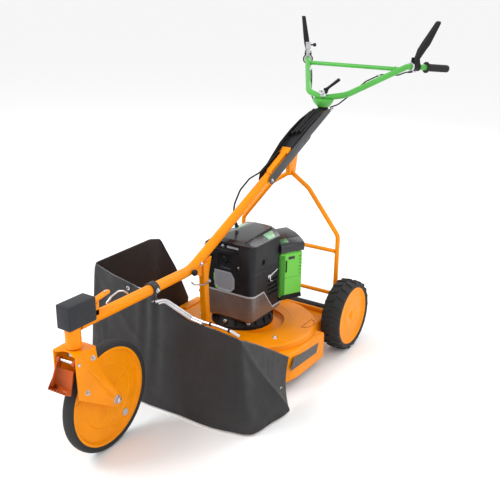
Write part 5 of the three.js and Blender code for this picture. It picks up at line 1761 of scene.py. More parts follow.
# ------------------------------------------------------------------- rear frame
@dataclass
class RearFrame:
    """The arched rear tube frame with its crossbars, axle, gearbox and backbone bracket."""

    tube_r: float = 0.009
    half_w: float = 0.226
    top: float = 0.679
    frame_y: float = at(0.043)

    def build(self) -> None:
        """Model the frame's pieces in order."""
        for side, label in ((1, "left"), (-1, "right")):
            self.leg(side, label)
        self.crossbar("upper_rail", 0.381, "upper_crossbar")
        self.crossbar("lower_rail", 0.197, "lower_crossbar")
        self.bracket()
        self.axle()
        self.gearbox()
        self.fasteners()

    def leg(self, side: int, label: str) -> None:
        """One bent leg with its pressed axle plate welded on."""
        y = self.frame_y
        line = arc_route([Vector((side * 0.0083, y, self.top - 0.0055)), Vector((side * 0.085, y, 0.623)),
                          Vector((side * self.half_w, y, 0.447)), Vector((side * self.half_w, y, 0.108))], 0.04, 10)
        bar = tube("leg", line, self.tube_r, 32)
        inner, outer = sorted((side * (self.half_w - 0.014), side * (self.half_w + 0.004)))
        outline = [(at(-0.020), 0.108), (y + 0.013, 0.108), (y + 0.013, 0.176), (at(0.006), 0.176),
                   (at(-0.020), 0.158)]
        slab = soften(plate("slab", outline, inner, outer, Axis.X), 0.0022, 3)
        pocket = plate("pocket", [(at(-0.014), 0.1135), (y - 0.012, 0.1135), (y - 0.012, 0.170), (at(0.008), 0.170),
                                  (at(-0.014), 0.154)], inner + 0.0035, outer - 0.0035, Axis.X)
        axle_hole = rod("hole", Vector((-0.24, AXLE.y, AXLE.z)), Vector((0.24, AXLE.y, AXLE.z)), 0.0163, 32)
        carve(bar, slab, add=True)
        carve(bar, axle_hole)
        bpy.data.objects.remove(pocket)
        finish_piece(clean(bar, 1e-5), f"frame_leg_{label}", "chassis", Slot.ORANGE, ORANGE, [f"rear_leg_{label}"])
        for z in (0.381, 0.197):
            bead = weld_bead("bead", Vector((side * (self.half_w - self.tube_r + 0.0002), y, z)), Vector((1, 0, 0)),
                             0.0083, 0.0016)
            finish_piece(bead, f"rail_weld_{label}_{int(z * 1000)}", "chassis", Slot.ORANGE, ORANGE)

    def crossbar(self, name: str, z: float, node: str) -> None:
        """One straight rail between the legs."""
        reach = self.half_w - self.tube_r - 0.0003
        bar = rod("rail", Vector((-reach, self.frame_y, z)), Vector((reach, self.frame_y, z)), 0.008, 32)
        finish_piece(bar, name, "chassis", Slot.ORANGE, ORANGE, [node])

    def bracket(self) -> None:
        """The folded bracket that holds the arch under the backbone."""
        y = self.frame_y
        outline = [(y - 0.026, 0.668), (y + 0.022, 0.662), (y + 0.0435, 0.770), (y - 0.030, 0.742)]
        slab = plate("slab", outline, -0.008, 0.008, Axis.X)
        room = tube("room", [Vector((0, at(-0.2), upper_z(at(-0.2)))), Vector((0, at(0.25), upper_z(at(0.25))))],
                    TUBE_R + 0.0002, 40)
        carve(slab, room)
        soften(slab, 0.0015, 2, 40)
        finish_piece(slab, "arch_bracket", "chassis", Slot.ORANGE, ORANGE, ["frame_bracket"])

    def axle(self) -> None:
        """The black axle tube."""
        profile = [(0.0091, -0.236), (0.0150, -0.236), (0.0160, -0.235), (0.0160, 0.235), (0.0150, 0.236),
                   (0.0091, 0.236)]
        axle = turned("axle", profile, AXLE * 1, Vector((1, 0, 0)), 48)
        for vertex in axle.data.vertices:
            vertex.co.x -= AXLE.x
        finish_piece(axle, "axle_casing", "chassis", Slot.BLACK_PAINT, BLACK_PAINT, ["axle_tube"])

    def gearbox(self) -> None:
        """The travel drive's casing with ribs and a flange."""
        middle = Vector((0, AXLE.y, AXLE.z))
        drum = turned("drum", [(0.0163, -0.034), (0.038, -0.034), (0.040, -0.032), (0.040, -0.0025), (0.0425, -0.0022),
                               (0.0425, 0.0022), (0.040, 0.0025), (0.040, 0.032), (0.038, 0.034), (0.0163, 0.034)],
                      middle, Vector((1, 0, 0)), 64)
        head = block("head", (-0.026, at(-0.022), AXLE.z + 0.030), (0.026, at(0.030), AXLE.z + 0.062), 0.004, 3)
        carve(drum, head, add=True)
        clear = block("clear", (-0.06, at(-0.06), 0.06), (0.06, at(-0.024), 0.26))
        inner = rod("bore", Vector((-0.06, AXLE.y, AXLE.z)), Vector((0.06, AXLE.y, AXLE.z)), 0.0163, 48)
        carve(drum, clear, inner)
        for index in range(5):
            x = -0.018 + index * 0.009
            carve(drum, block("groove", (x - 0.0014, at(-0.03), AXLE.z + 0.0585), (x + 0.0014, at(0.04), 0.30)))
        finish_piece(clean(drum, 1e-5), "drive_casing", "chassis", Slot.BLACK, BLACK, ["travel_gearbox"])

    def fasteners(self) -> None:
        """Bolts through the axle plates."""
        heads = []
        for side in (1, -1):
            x = side * (self.half_w + 0.004)
            for y, z in ((at(-0.010), 0.118), (at(0.000), 0.164)):
                heads.append(hex_bolt("bolt", Vector((x, y, z)), Vector((side, 0, 0)), 0.009, 0.001))
        finish_piece(merge("bolts", heads), "frame_bolts", "chassis", Slot.ZINC, ZINC)


@dataclass
class RearWheel:
    """One driven wheel: lugged tyre, moulded rim, and its half shaft."""

    side: int
    label: str
    rim_r: float = 0.117
    wheel_r: float = 0.143
    inner: float = 0.257
    outer: float = 0.337
    lugs: int = 22

    def build(self) -> None:
        """Model the wheel's pieces in order."""
        self.hub = Vector((0, AXLE.y, AXLE.z))
        self.tyre()
        self.rim()
        self.shaft()

    def facing(self, profile: Outline) -> list[tuple[float, float]]:
        """Turn a left-hand profile to this side."""
        return [(radius, self.side * x) for radius, x in profile]

    def tyre(self) -> None:
        """A carcass with a row of slanted lugs round its crown."""
        inn, out, wheel_r, rim_r = self.inner, self.outer, self.wheel_r, self.rim_r
        base_r = wheel_r - 0.0085
        profile = [(rim_r, inn + 0.004), (rim_r + 0.006, inn + 0.0008), (rim_r + 0.012, inn),
                   (base_r - 0.004, inn + 0.0015), (base_r, inn + 0.009), (base_r + 0.0010, (inn + out) / 2),
                   (base_r, out - 0.009), (base_r - 0.004, out - 0.0015), (rim_r + 0.012, out),
                   (rim_r + 0.0095, out - 0.0010), (rim_r + 0.006, out - 0.0006), (rim_r, out - 0.004)]
        parts = [turned("carcass", self.facing(profile), self.hub, Vector((1, 0, 0)), 104)]
        middle = (inn + out) / 2
        for index in range(self.lugs * 2):
            angle = math.pi * (index + 0.5) / self.lugs
            hand = 1 if index % 2 else -1
            parts.append(self.lug(angle, middle, hand))
        tyre = merge("tyre", parts)
        finish_piece(tyre, f"rear_tread_{self.label}", f"rear_wheel_{self.label}", Slot.TYRE, RUBBER,
                     [f"rear_tyre_{self.label}"], 30)

    def lug(self, angle: float, middle: float, hand: int) -> bpy.types.Object:
        """One slanted tread lug on one half of the crown."""
        rings = []
        span = 0.0385
        for radius, scale in ((self.wheel_r - 0.0110, 1.0), (self.wheel_r - 0.0003, 0.74)):
            ring = []
            for along, wide in ((0.003, -1), (span, -1), (span, 1), (0.003, 1)):
                x = middle + hand * (along if along < 0.01 else along * (1 if scale == 1 else 0.95))
                sweep = 0.105 * (along / span)
                turn = angle + sweep + wide * 0.046 * scale
                drop = 0.004 if along > 0.01 and scale < 1 else 0
                ring.append(self.hub + Vector((self.side * x, (radius - drop) * math.cos(turn),
                                               (radius - drop) * math.sin(turn))))
            rings.append(ring)
        return loft("lug", rings)

    def rim(self) -> None:
        """The moulded rim: a dished face round a hub barrel."""
        inn, out, rim_r = self.inner, self.outer, self.rim_r - 0.0003
        profile = [(0.0088, inn - 0.010), (0.0250, inn - 0.010), (0.026, inn - 0.009), (0.026, out - 0.0320),
                   (0.032, out - 0.0300), (rim_r - 0.009, out - 0.0225), (rim_r - 0.005, inn + 0.015),
                   (rim_r - 0.0015, inn + 0.014), (rim_r, inn + 0.0155), (rim_r, out - 0.0055),
                   (rim_r - 0.0015, out - 0.004), (rim_r - 0.006, out - 0.004), (rim_r - 0.0085, out - 0.0055),
                   (rim_r - 0.0125, out - 0.0105), (rim_r - 0.022, out - 0.0120), (0.060, out - 0.0102),
                   (0.056, out - 0.0092), (0.036, out - 0.0088), (0.033, out - 0.0098), (0.020, out - 0.0096),
                   (0.018, out - 0.0082), (0.0088, out - 0.0080)]
        parts = [turned("face", self.facing(profile), self.hub, Vector((1, 0, 0)), 112)]
        rim = merge("rim", parts)
        finish_piece(rim, f"rear_disc_{self.label}", f"rear_wheel_{self.label}", Slot.RIM, RIM_ORANGE,
                     [f"rear_rim_{self.label}"], 30)

    def shaft(self) -> None:
        """The half shaft and its hub cap."""
        ends = (0.036, self.outer - 0.012)
        shaft = rod("shaft", self.hub + Vector((self.side * ends[0], 0, 0)),
                    self.hub + Vector((self.side * ends[1], 0, 0)), 0.0079, 32, 0.001)
        piece = shaft
        finish_piece(piece, f"drive_shaft_{self.label}", f"rear_wheel_{self.label}", Slot.STEEL, STEEL,
                     [f"half_shaft_{self.label}"])
        cap = turned("cap", [(0.0, 0.0), (0.0150, 0.0), (0.0158, 0.0010), (0.0125, 0.0030), (0.0, 0.0038)],
                     self.hub + Vector((self.side * (self.outer - 0.0080), 0, 0)), Vector((self.side, 0, 0)), 48)
        finish_piece(cap, f"hub_cap_{self.label}", f"rear_wheel_{self.label}", Slot.RIM, RIM_ORANGE)


# ---------------------------------------------------------------------- console
@dataclass
class Console:
    """The covers beside the upper backbone, the shell between them, and the motor's lead."""

    inner: float = 0.023
    outer: float = 0.026

    def build(self) -> None:
        """Model the console's pieces in order."""
        self.covers()
        self.spine()
        self.lead()

    def beside(self, from_axle: float, lift: float) -> tuple[float, float]:
        """A (y, z) point at a height over the tube's centre line."""
        return (at(from_axle), upper_z(at(from_axle)) + lift)

    def cover(self, label: str, outline: Outline, side: int, finish: Finish) -> None:
        """One side cover with a rounded outline and softened edges."""
        corners = [Vector((0, y, z)) for y, z in outline]
        closed = [corners[-1], *corners, corners[0]]
        softened = arc_route(closed, 0.006, 3)[1:-1]
        low, high = sorted((side * self.inner, side * self.outer))
        shell = plate("cover", [(v.y, v.z) for v in softened], low, high, Axis.X)
        soften(shell, 0.0008, 2, 60)
        finish_piece(shell, f"console_{label}", "chassis", Slot.BLACK, finish, [f"cover_{label}"])

    def covers(self) -> None:
        """The narrow left cover and the tall right one, with their screws."""
        lower = [self.beside(-0.160, 0.004), self.beside(-0.150, -0.014), self.beside(-0.138, -0.022),
                 self.beside(0.148, -0.022), self.beside(0.156, -0.014), self.beside(0.342, -0.014),
                 (at(0.344), 0.900)]
        left = [(at(0.272), 0.898), self.beside(0.136, 0.026), self.beside(0.007, 0.023),
                self.beside(-0.152, 0.018)]
        right = [(at(0.276), 0.899), (at(0.229), 0.895), (at(0.147), 0.873), (at(0.068), 0.842),
                 (at(-0.007), 0.804), (at(-0.066), 0.762), (at(-0.106), 0.732), self.beside(-0.152, 0.022)]
        self.cover("left", [*lower, *left], 1, DARK_GREY)
        self.cover("right", [*lower, *right], -1, BLACK)
        screws = []
        for from_axle in (-0.143, 0.318):
            y, z = self.beside(from_axle, -0.004)
            for side in (1, -1):
                screws.append(hex_bolt("screw", Vector((side * self.outer, y, z)), Vector((side, 0, 0)),
                                       0.0085, 0.0005))
        finish_piece(merge("screws", screws), "console_screws", "chassis", Slot.ZINC, ZINC)
        ribs = []
        for index in range(5):
            t = index / 4
            y = at(-0.02 + 0.19 * t)
            top = 0.796 + 0.083 * t
            low = upper_z(y) + 0.024
            ribs.append(block("rib", (-self.inner - 0.0002, y - 0.0012, low), (-self.inner + 0.0030, y + 0.0012, top),
                              0.0006, 2))
        finish_piece(merge("ribs", ribs), "console_ribs", "chassis", Slot.BLACK, BLACK)

    def spine(self) -> None:
        """The saddle lug on the tube, the shell over it and the ribbed cable runs."""
        lug = plate("lug", [self.beside(-0.128, 0.0150), self.beside(-0.004, 0.0150), self.beside(-0.004, 0.0245),
                            self.beside(-0.120, 0.0215)], -0.0125, 0.0125, Axis.X)
        tee = plate("tee", [self.beside(-0.022, 0.0180), self.beside(0.002, 0.0180), self.beside(0.002, 0.0320),
                            self.beside(-0.004, 0.0335), self.beside(-0.022, 0.0260)], -0.0205, 0.0205, Axis.X)
        carve(lug, tee, add=True)
        soften(lug, 0.0018, 3, 30)
        finish_piece(lug, "tube_lug", "chassis", Slot.ORANGE, ORANGE)
        seam = turned("seam", [(TUBE_R, -0.0016), (TUBE_R + 0.0014, -0.0010), (TUBE_R + 0.0014, 0.0010),
                               (TUBE_R, 0.0016)], Vector((0, *self.beside(-0.131, 0.0))), Vector((0, 1, RISE)), 48)
        finish_piece(seam, "tube_seam", "chassis", Slot.RUST, RUST)
        profile = [self.beside(0.006, 0.0185), self.beside(0.262, 0.0185), self.beside(0.262, 0.0290),
                   self.beside(0.210, 0.0360), self.beside(0.110, 0.0385), self.beside(0.030, 0.0330),
                   self.beside(0.006, 0.0270)]
        shell = soften(plate("shell", profile, -0.0205, 0.0205, Axis.X), 0.0030, 4, 30)
        finish_piece(shell, "console_shell", "chassis", Slot.BLACK, CHARCOAL)
        runs = []
        for x, lift, start, end in ((-0.012, 0.046, 0.060, 0.240), (0.001, 0.048, 0.070, 0.235),
                                    (0.013, 0.046, 0.080, 0.225)):
            corners = [self.beside(start + (end - start) * i / 60, lift - 0.008 * (i / 60)) for i in range(61)]
            rings = []
            for index, (y, z) in enumerate(corners):
                radius = 0.0056 if index % 2 else 0.0046
                rings.append(ring_points(Vector((x, y, z)), Vector((0, 1, RISE)), radius, 14))
            runs.append(loft("run", rings))
        finish_piece(merge("runs", runs), "ribbed_cables", "chassis", Slot.CABLE, SHEATH)

    def lead(self) -> None:
        """The motor's lead from the console down to the hood, with its boot."""
        line = [Vector((-0.019, at(0.060), 0.812)), Vector((-0.019, at(-0.060), 0.756)),
                Vector((-0.019, at(-0.160), 0.712)), Vector((-0.024, at(-0.225), 0.700)),
                Vector((-0.026, at(-0.285), 0.668)), Vector((-0.026, at(-0.322), 0.622)),
                Vector((-0.022, at(-0.334), 0.582)), Vector((-0.016, at(-0.320), 0.5435))]
        piece = tube("lead", arc_route(line, 0.05, 8), 0.0034, 18)
        finish_piece(piece, "motor_cable", "chassis", Slot.CABLE, SHEATH, ["motor_lead"])
        boot = turned("boot", [(0.0036, 0.0), (0.0075, 0.0), (0.0080, 0.002), (0.0062, 0.010), (0.0048, 0.020),
                               (0.0036, 0.020)], Vector((-0.0158, at(-0.3193), 0.5360)), Vector((-0.1, -0.33, 1)), 28)
        finish_piece(boot, "cable_boot", "chassis", Slot.GRIP, GRIP)


# -------------------------------------------------------------------- handlebar
GRIP_SIDE = Vector((0.4818, 0.8763, 0))
GRIP_DIR = Vector((0.48, 0.873, -0.086)).normalized()
ARM_END = Vector((0.2445, at(0.593), 1.066))
BAR_R = 0.0125


def grip_point(side: int, s: float, h: float, q: float = 0) -> Vector:
    """A point beside a grip: s runs along it, h is upward, q is outward and forward.

    Args:
        side: 1 for the left grip, -1 for the right one.
        s: distance along the grip's line.
        h: height over that line.
        q: distance across it.

    Returns:
        The point in the row frame.
    """
    point = ARM_END + GRIP_DIR * s + Vector((q * GRIP_SIDE.y, -q * GRIP_SIDE.x, h))
    point.x *= side
    return point


@dataclass
class Handlebar:
    """The swivelling bar: one bent tube, crossbar, bowl, cam clamp and grips."""

    bend: float = 0.07
    bowl_low: float = 0.908
    cam_z: float = 0.971

    def build(self) -> None:
        """Model the handlebar's pieces in order."""
        self.bar()
        self.crossbar()
        self.seat()
        self.clamp()
        self.cam()
        for side, label in ((1, "left"), (-1, "right")):
            self.grip(side, label)

    def line(self) -> list[Vector]:
        """The bent tube's centre line from grip to grip."""
        half = [Vector((0.090, at(0.331), 0.960)), ARM_END, grip_point(1, 0.222, 0)]
        mirrored = [Vector((-p.x, p.y, p.z)) for p in reversed(half)]
        return arc_route([*mirrored, Vector((0, at(0.297), 0.943)), *half], self.bend, 14)

    def bar(self) -> None:
        """Sweep the tube and weld the bowl under it."""
        swivel = Vector((0, BAR_SWIVEL.y, 0))
        bar = tube("bar", self.line(), BAR_R, 40)
        bowl = turned("bowl", [(0.0, self.bowl_low), (0.0250, self.bowl_low), (0.0262, self.bowl_low + 0.001),
                               (0.0340, 0.9180), (0.0410, 0.9280), (0.0435, 0.9340), (0.0440, 0.9360), (0.0440, 0.9400),
                               (0.0430, 0.9410), (0.0, 0.9410)], swivel, Vector((0, 0, 1)), 72)
        carve(bar, bowl, add=True)
        carve(bar, rod("way", swivel + Vector((0, 0, 0.85)), swivel + Vector((0, 0, 1.0)), 0.0060, 32))
        finish_piece(clean(bar, 1e-5), "green_bar", "handlebar", Slot.GREEN, GREEN, ["handle_tube"], 40)

    def crossbar(self) -> None:
        """The thin bar between the arms with its weld beads."""
        end = Vector((0.2177, at(0.5553), 1.0549))
        start = Vector((-end.x, end.y, end.z))
        room = tube("room", self.line(), BAR_R + 0.0003, 32)
        bar = rod("cross", start, end, 0.009, 36)
        carve(bar, room)
        edit(bar, lambda place, normal: abs(place.x) > 0.2142)
        close_edit()
        finish_piece(bar, "green_crossbar", "handlebar", Slot.GREEN, GREEN, ["handle_crossbar"])
        beads = [weld_bead("bead", Vector((side * 0.2030, end.y, end.z)), Vector((1, 0, 0)), 0.0094, 0.0020)
                 for side in (1, -1)]
        finish_piece(merge("beads", beads), "crossbar_welds", "handlebar", Slot.GREEN, GREEN)

    def seat(self) -> None:
        """The black swivel seat on the backbone's end."""
        low = upper_z(BAR_SWIVEL.y)
        centre = Vector((0, BAR_SWIVEL.y, 0))
        seat = turned("seat", [(0.0061, low), (0.0200, low), (0.0200, 0.8955), (0.0218, 0.8975), (0.0220, 0.8990),
                               (0.0220, 0.9065), (0.0210, 0.9076), (0.0061, 0.9076)], centre, Vector((0, 0, 1)), 56)
        saddle = block("saddle", (-0.014, BAR_SWIVEL.y - 0.024, low - 0.006), (0.014, BAR_SWIVEL.y + 0.020, 0.897),
                       0.002)
        carve(seat, saddle, add=True)
        route = [Vector((0, at(-0.1), upper_z(at(-0.1)))), Vector((0, at(0.45), upper_z(at(0.45))))]
        below = block("below", (-0.06, BAR_SWIVEL.y - 0.06, 0.80), (0.06, BAR_SWIVEL.y + 0.06, low - 0.001))
        carve(seat, tube("room", route, TUBE_R + 0.0002, 40), below)
        carve(seat, rod("way", centre + Vector((0, 0, 0.85)), centre + Vector((0, 0, 1.0)), 0.0061, 32))
        finish_piece(clean(seat, 1e-5), "swivel_base", "chassis", Slot.BLACK, BLACK, ["swivel_seat"])

    def clamp(self) -> None:
        """The clamp bolt through the bowl, with its saddle washer and cam pin."""
        centre = Vector((0, BAR_SWIVEL.y, 0))
        up = Vector((0, 0, 1))
        shaft = rod("shaft", centre + up * 0.856, centre + up * 0.977, 0.0054, 28, 0.001)
        washer = turned("washer", [(0.0, 0.948), (0.0135, 0.948), (0.0140, 0.949), (0.0140, 0.9605), (0.0130, 0.962),
                                   (0.0, 0.962)], centre, up, 44)
        bar = tube("room", [Vector((-0.09, at(0.331), 0.960)), Vector((0, at(0.297), 0.943)),
                            Vector((0.09, at(0.331), 0.960))], BAR_R + 0.0004, 32)
        carve(washer, bar)
        pin = rod("pin", centre + Vector((0, -0.013, self.cam_z)), centre + Vector((0, 0.013, self.cam_z)), 0.003, 24,
                  0.0006)
        finish_piece(merge("clamp", [shaft, washer, pin]), "bar_clamp", "handlebar", Slot.ZINC, ZINC,
                     ["clamp_bolt"])

    def cam(self) -> None:
        """The grey quick-release lever with its eye and thumb end."""
        centre = Vector((0, BAR_SWIVEL.y, 0))
        hub = centre + Vector((0, 0, self.cam_z))
        eye = rod("eye", hub - Vector((0, 0.012, 0)), hub + Vector((0, 0.012, 0)), 0.0086, 56, 0.0008)
        yoke = plate("yoke", [(0.0043, 0.9655), (0.0169, 0.9753), (0.0084, 0.9863), (-0.0043, 0.9765)],
                     BAR_SWIVEL.y - 0.012, BAR_SWIVEL.y + 0.012, Axis.Y)
        start, end = centre + Vector((0.0095, 0, 0.9783)), centre + Vector((0.071, 0, 1.026))
        rings = [ring_points(start.lerp(end, t), end - start, wide, 24)
                 for t, wide in ((0.0, 0.0068), (0.3, 0.0058), (0.7, 0.0066), (0.92, 0.0070), (0.985, 0.0058),
                                 (1.0, 0.0035))]
        carve(eye, yoke, loft("stem", rings), add=True)
        slot = rod("slot", hub - Vector((0, 0.0062, 0)), hub + Vector((0, 0.0062, 0)), 0.0092, 48)
        bore = rod("bore", hub - Vector((0, 0.03, 0)), hub + Vector((0, 0.03, 0)), 0.0033, 24)
        carve(eye, slot, bore)
        clean(eye, 1e-5)
        finish_piece(eye, "cam_handle", "cam_lever", Slot.GREY, BLACK, ["cam_lever"])
        discs = [turned("disc", [(0.0034, 0.0), (0.0125, 0.0), (0.0130, 0.0006), (0.0130, 0.0026), (0.0118, 0.0034),
                                 (0.0034, 0.0034)], hub + Vector((0, side * 0.0146, 0)), Vector((0, side, 0)), 44)
                 for side in (1, -1)]
        finish_piece(merge("discs", discs), "cam_discs", "cam_lever", Slot.ZINC, ZINC)

    def grip(self, side: int, label: str) -> None:
        """A ribbed rubber grip with a flange, a domed end and thumb grooves."""
        start, last = 0.098, 0.224
        along = grip_point(side, 1, 0) - grip_point(side, 0, 0)
        along.normalize()
        profile = [(0.0128, 0.0), (0.0225, 0.0), (0.0240, 0.0015), (0.0240, 0.0045), (0.0225, 0.0060)]
        reach = last - start
        count = 19
        for index in range(count):
            s = 0.0075 + (reach - 0.018) * index / count
            step = (reach - 0.018) / count
            profile += [(0.0148, s), (0.0160, s + step * 0.22), (0.0160, s + step * 0.62), (0.0148, s + step * 0.82)]
        profile += [(0.0156, reach - 0.0085), (0.0160, reach - 0.0060), (0.0150, reach - 0.0018),
                    (0.0120, reach), (0.0, reach), (0.0, reach - 0.0009), (0.0128, reach - 0.0009)]
        grip = turned("grip", profile, grip_point(side, start, 0), along, 56)
        finish_piece(grip, f"rubber_grip_{label}", "handlebar", Slot.GRIP, GRIP, [f"grip_{label}"], 25)


@dataclass
class HandControls:
    """Lever mounts, hand levers, the stop switch, cables and clips."""

    lean: float = 0.16
    pivot_s: float = 0.038
    pivot_h: float = 0.025
    levers: list[str] = field(default_factory=list)

    def build(self) -> None:
        """Model the controls in order."""
        for side, label in ((1, "left"), (-1, "right")):
            self.mount(side, label)
            self.lever(side, label)
            self.cable(side, label)
        self.switch()
        self.clips()

    def upright_plate(self, side: int, outline: Outline, low: float, high: float, lean: float = 0,
                      swell: float = 1.0) -> bpy.types.Object:
        """A plate in a grip's upright plane.

        Args:
            side: 1 for left, -1 for right.
            outline: corners as (s, h).
            low: where it starts across the plane.
            high: where it ends.
            lean: how far it tips outward per unit of height over the pivot.
            swell: how much wider it grows just over the mount, before it tapers again.

        Returns:
            The plate.
        """
        rings = []
        slope = GRIP_DIR.z / math.hypot(GRIP_DIR.x, GRIP_DIR.y)
        for q in (low, high):
            ring = []
            for s, h in outline:
                grown = min(1.0, max(0.0, (h - 0.042) / 0.016)) * (1 - 0.85 * max(0.0, (h - 0.090) / 0.105))
                across = q * (1 + (swell - 1) * grown) + lean * (h - self.pivot_h)
                place = ARM_END + Vector((GRIP_SIDE.y * across + GRIP_SIDE.x * s,
                                          -GRIP_SIDE.x * across + GRIP_SIDE.y * s, h + slope * s))
                ring.append(Vector((side * place.x, place.y, place.z)))
            rings.append(ring)
        return loft("plate", rings)

    def room(self, side: int, s0: float = -0.06, s1: float = 0.223) -> bpy.types.Object:
        """The handlebar tube's room along a grip."""
        return rod("room", grip_point(side, s0, 0), grip_point(side, s1, 0), BAR_R + 0.0003, 40)

    def mount(self, side: int, label: str) -> None:
        """The clamp collar with its two cheeks, pivot pin and clamp screw."""
        along = (grip_point(side, 1, 0) - grip_point(side, 0, 0)).normalized()
        collar = turned("collar", [(0.0128, 0.0), (0.0168, 0.0), (0.0180, 0.0012), (0.0180, 0.0130), (0.0172, 0.0150),
                                   (0.0172, 0.0190), (0.0180, 0.0210), (0.0180, 0.0328), (0.0168, 0.0340),
                                   (0.0128, 0.0340)], grip_point(side, 0.024, 0), along, 56)
        cheeks = []
        for low in (0.011, -0.015):
            cheek = self.upright_plate(side, [(0.026, 0.008), (0.056, 0.008), (0.0505, 0.0350), (0.0475, 0.0380),
                                              (0.0305, 0.0380), (0.0280, 0.0350)], low, low + 0.004)
            cheeks.append(soften(cheek, 0.0008, 2))
        carve(collar, *cheeks, add=True)
        carve(collar, self.room(side))
        pin = rod("pin", grip_point(side, self.pivot_s, self.pivot_h, -0.017),
                  grip_point(side, self.pivot_s, self.pivot_h, 0.017), 0.003, 24, 0.0006)
        carve(collar, pin, add=True)
        finish_piece(clean(collar, 1e-5), f"control_mount_{label}", "handlebar", Slot.BLACK, BLACK,
                     [f"lever_mount_{label}"])
        screw = hex_bolt("screw", grip_point(side, 0.041, -0.0172), Vector((0, 0, -1)), 0.0085, 0.002)
        band_in = turned("band", [(0.0128, 0.0), (0.0176, 0.0), (0.0180, 0.0005), (0.0180, 0.0095), (0.0176, 0.0100),
                                  (0.0128, 0.0100)], grip_point(side, 0.0125, 0), along, 48)
        finish_piece(merge("clamp", [screw, band_in]), f"clamp_band_{label}", "handlebar", Slot.ZINC, ZINC)

    def lever(self, side: int, label: str) -> None:
        """A curved blade lever with a soft section and a rolled tip."""
        corners = [(0.030, 0.021), (0.034, 0.032), (0.048, 0.074), (0.062, 0.100), (0.114, 0.190), (0.120, 0.1955),
                   (0.127, 0.1955), (0.1318, 0.188), (0.092, 0.096), (0.076, 0.074), (0.056, 0.034), (0.046, 0.023),
                   (0.038, 0.0195)]
        loop = [Vector((s, h, 0)) for s, h in corners]
        softened = arc_route([loop[-1], *loop, loop[0]], 0.012, 4)[1:-1]
        lever = self.upright_plate(side, [(v.x, v.y) for v in softened], -0.008, 0.008, self.lean, 1.6)
        clean(lever, 1e-5)
        soften(lever, 0.0030, 4, 50)
        bore = rod("bore", grip_point(side, self.pivot_s, self.pivot_h, -0.03),
                   grip_point(side, self.pivot_s, self.pivot_h, 0.03), 0.0033, 24)
        carve(lever, bore)
        name = f"squeeze_lever_{label}"
        finish_piece(clean(lever, 1e-5), name, f"hand_lever_{label}", Slot.BLACK, BLACK,
                     [f"hand_lever_{label}"])
        self.levers.append(name)

    def switch(self) -> None:
        """The right-hand switch box on its post, with the red-free stop button."""
        box = soften(self.upright_plate(-1, [(0.002, 0.044), (0.024, 0.044), (0.024, 0.076), (0.002, 0.076)],
                                        -0.012, 0.012), 0.0022, 3)
        post = self.upright_plate(-1, [(0.004, 0.015), (0.016, 0.015), (0.016, 0.050), (0.004, 0.050)], -0.008, 0.008)
        carve(box, soften(post, 0.0010, 2), add=True)
        bore = rod("bore", grip_point(-1, 0.013, 0.064, 0.006), grip_point(-1, 0.013, 0.064, -0.040), 0.004, 28)
        foot = turned("foot", [(0.0128, 0.0), (0.0162, 0.0), (0.0170, 0.0008), (0.0170, 0.0104), (0.0162, 0.0112),
                               (0.0128, 0.0112)], grip_point(-1, 0.0008, 0),
                      grip_point(-1, 1, 0) - grip_point(-1, 0, 0), 48)
        carve(box, self.room(-1), bore)
        finish_piece(merge("switch", [clean(box, 1e-5), foot]), "switch_box", "handlebar", Slot.ZINC, ZINC,
                     ["switch_housing"])
        out = (grip_point(-1, 0.013, 0.064, -1) - grip_point(-1, 0.013, 0.064, 0)).normalized()
        button = turned("button", [(0.0, 0.002), (0.0035, 0.002), (0.0035, 0.0218), (0.0070, 0.0222), (0.0080, 0.0235),
                                   (0.0080, 0.0320), (0.0068, 0.0350), (0.0040, 0.0360), (0.0, 0.0362)],
                        grip_point(-1, 0.013, 0.064, 0), out, 36)
        finish_piece(button, "stop_knob", "stop_button", Slot.BLACK, BLACK, ["stop_button"])

    def cable(self, side: int, label: str) -> None:
        """A hand cable from the mount along the arm, with its ferrule."""
        line = [grip_point(side, 0.020, -0.022), grip_point(side, -0.010, -0.026), self.beside_arm(side, 0.86, 0.004, -0.021),
                self.beside_arm(side, 0.60, 0.0165, 0.0110), self.beside_arm(side, 0.36, 0.0165, 0.0110),
                self.beside_arm(side, 0.06, 0.012, -0.017), Vector((side * 0.056, at(0.322), 0.918)),
                Vector((side * 0.028, at(0.306), 0.9055))]
        cable = tube("cable", arc_route(line, 0.045, 8), 0.0029, 16)
        ferrule = rod("ferrule", grip_point(side, 0.026, -0.0220), grip_point(side, 0.004, -0.0245), 0.0042, 20,
                      0.0008)
        finish_piece(merge("cable", [cable, ferrule]), f"hand_cable_{label}", "handlebar", Slot.CABLE, SHEATH,
                     [f"cable_{label}"])

    def beside_arm(self, side: int, share: float, inward: float, lift: float) -> Vector:
        """A point beside an arm of the handlebar, towards the middle and up by the given amounts."""
        start = Vector((side * 0.090, at(0.331), 0.960))
        place = start.lerp(Vector((side * ARM_END.x, ARM_END.y, ARM_END.z)), share)
        return place + Vector((-side * inward, 0, lift))

    def clips(self) -> None:
        """A zinc saddle clip on each arm that holds the cable."""
        rings = []
        for side in (1, -1):
            seat = self.beside_arm(side, 0.57, 0.0130, 0.0100)
            rings.append(block("clip", seat - Vector((0.0045, 0.0060, 0.0085)), seat + Vector((0.0045, 0.0060, 0.0105)),
                               0.0020, 3))
        finish_piece(merge("clips", rings), "arm_clips", "handlebar", Slot.ZINC, ZINC)


# ------------------------------------------------------------------ inner parts
@dataclass
class InnerParts:
    """CAD nodes that stay as they are, each given its finish."""

    finishes: dict[str, Finish] = field(default_factory=lambda: {
        "front_wheel_bush": STEEL, "motor_stator": STEEL, "motor_rotor": STEEL, "blade": STEEL, "blade_hub": STEEL,
    })

    def build(self) -> None:
        """Dress every kept node."""
        for node, finish in self.finishes.items():
            dress_node(node, finish)


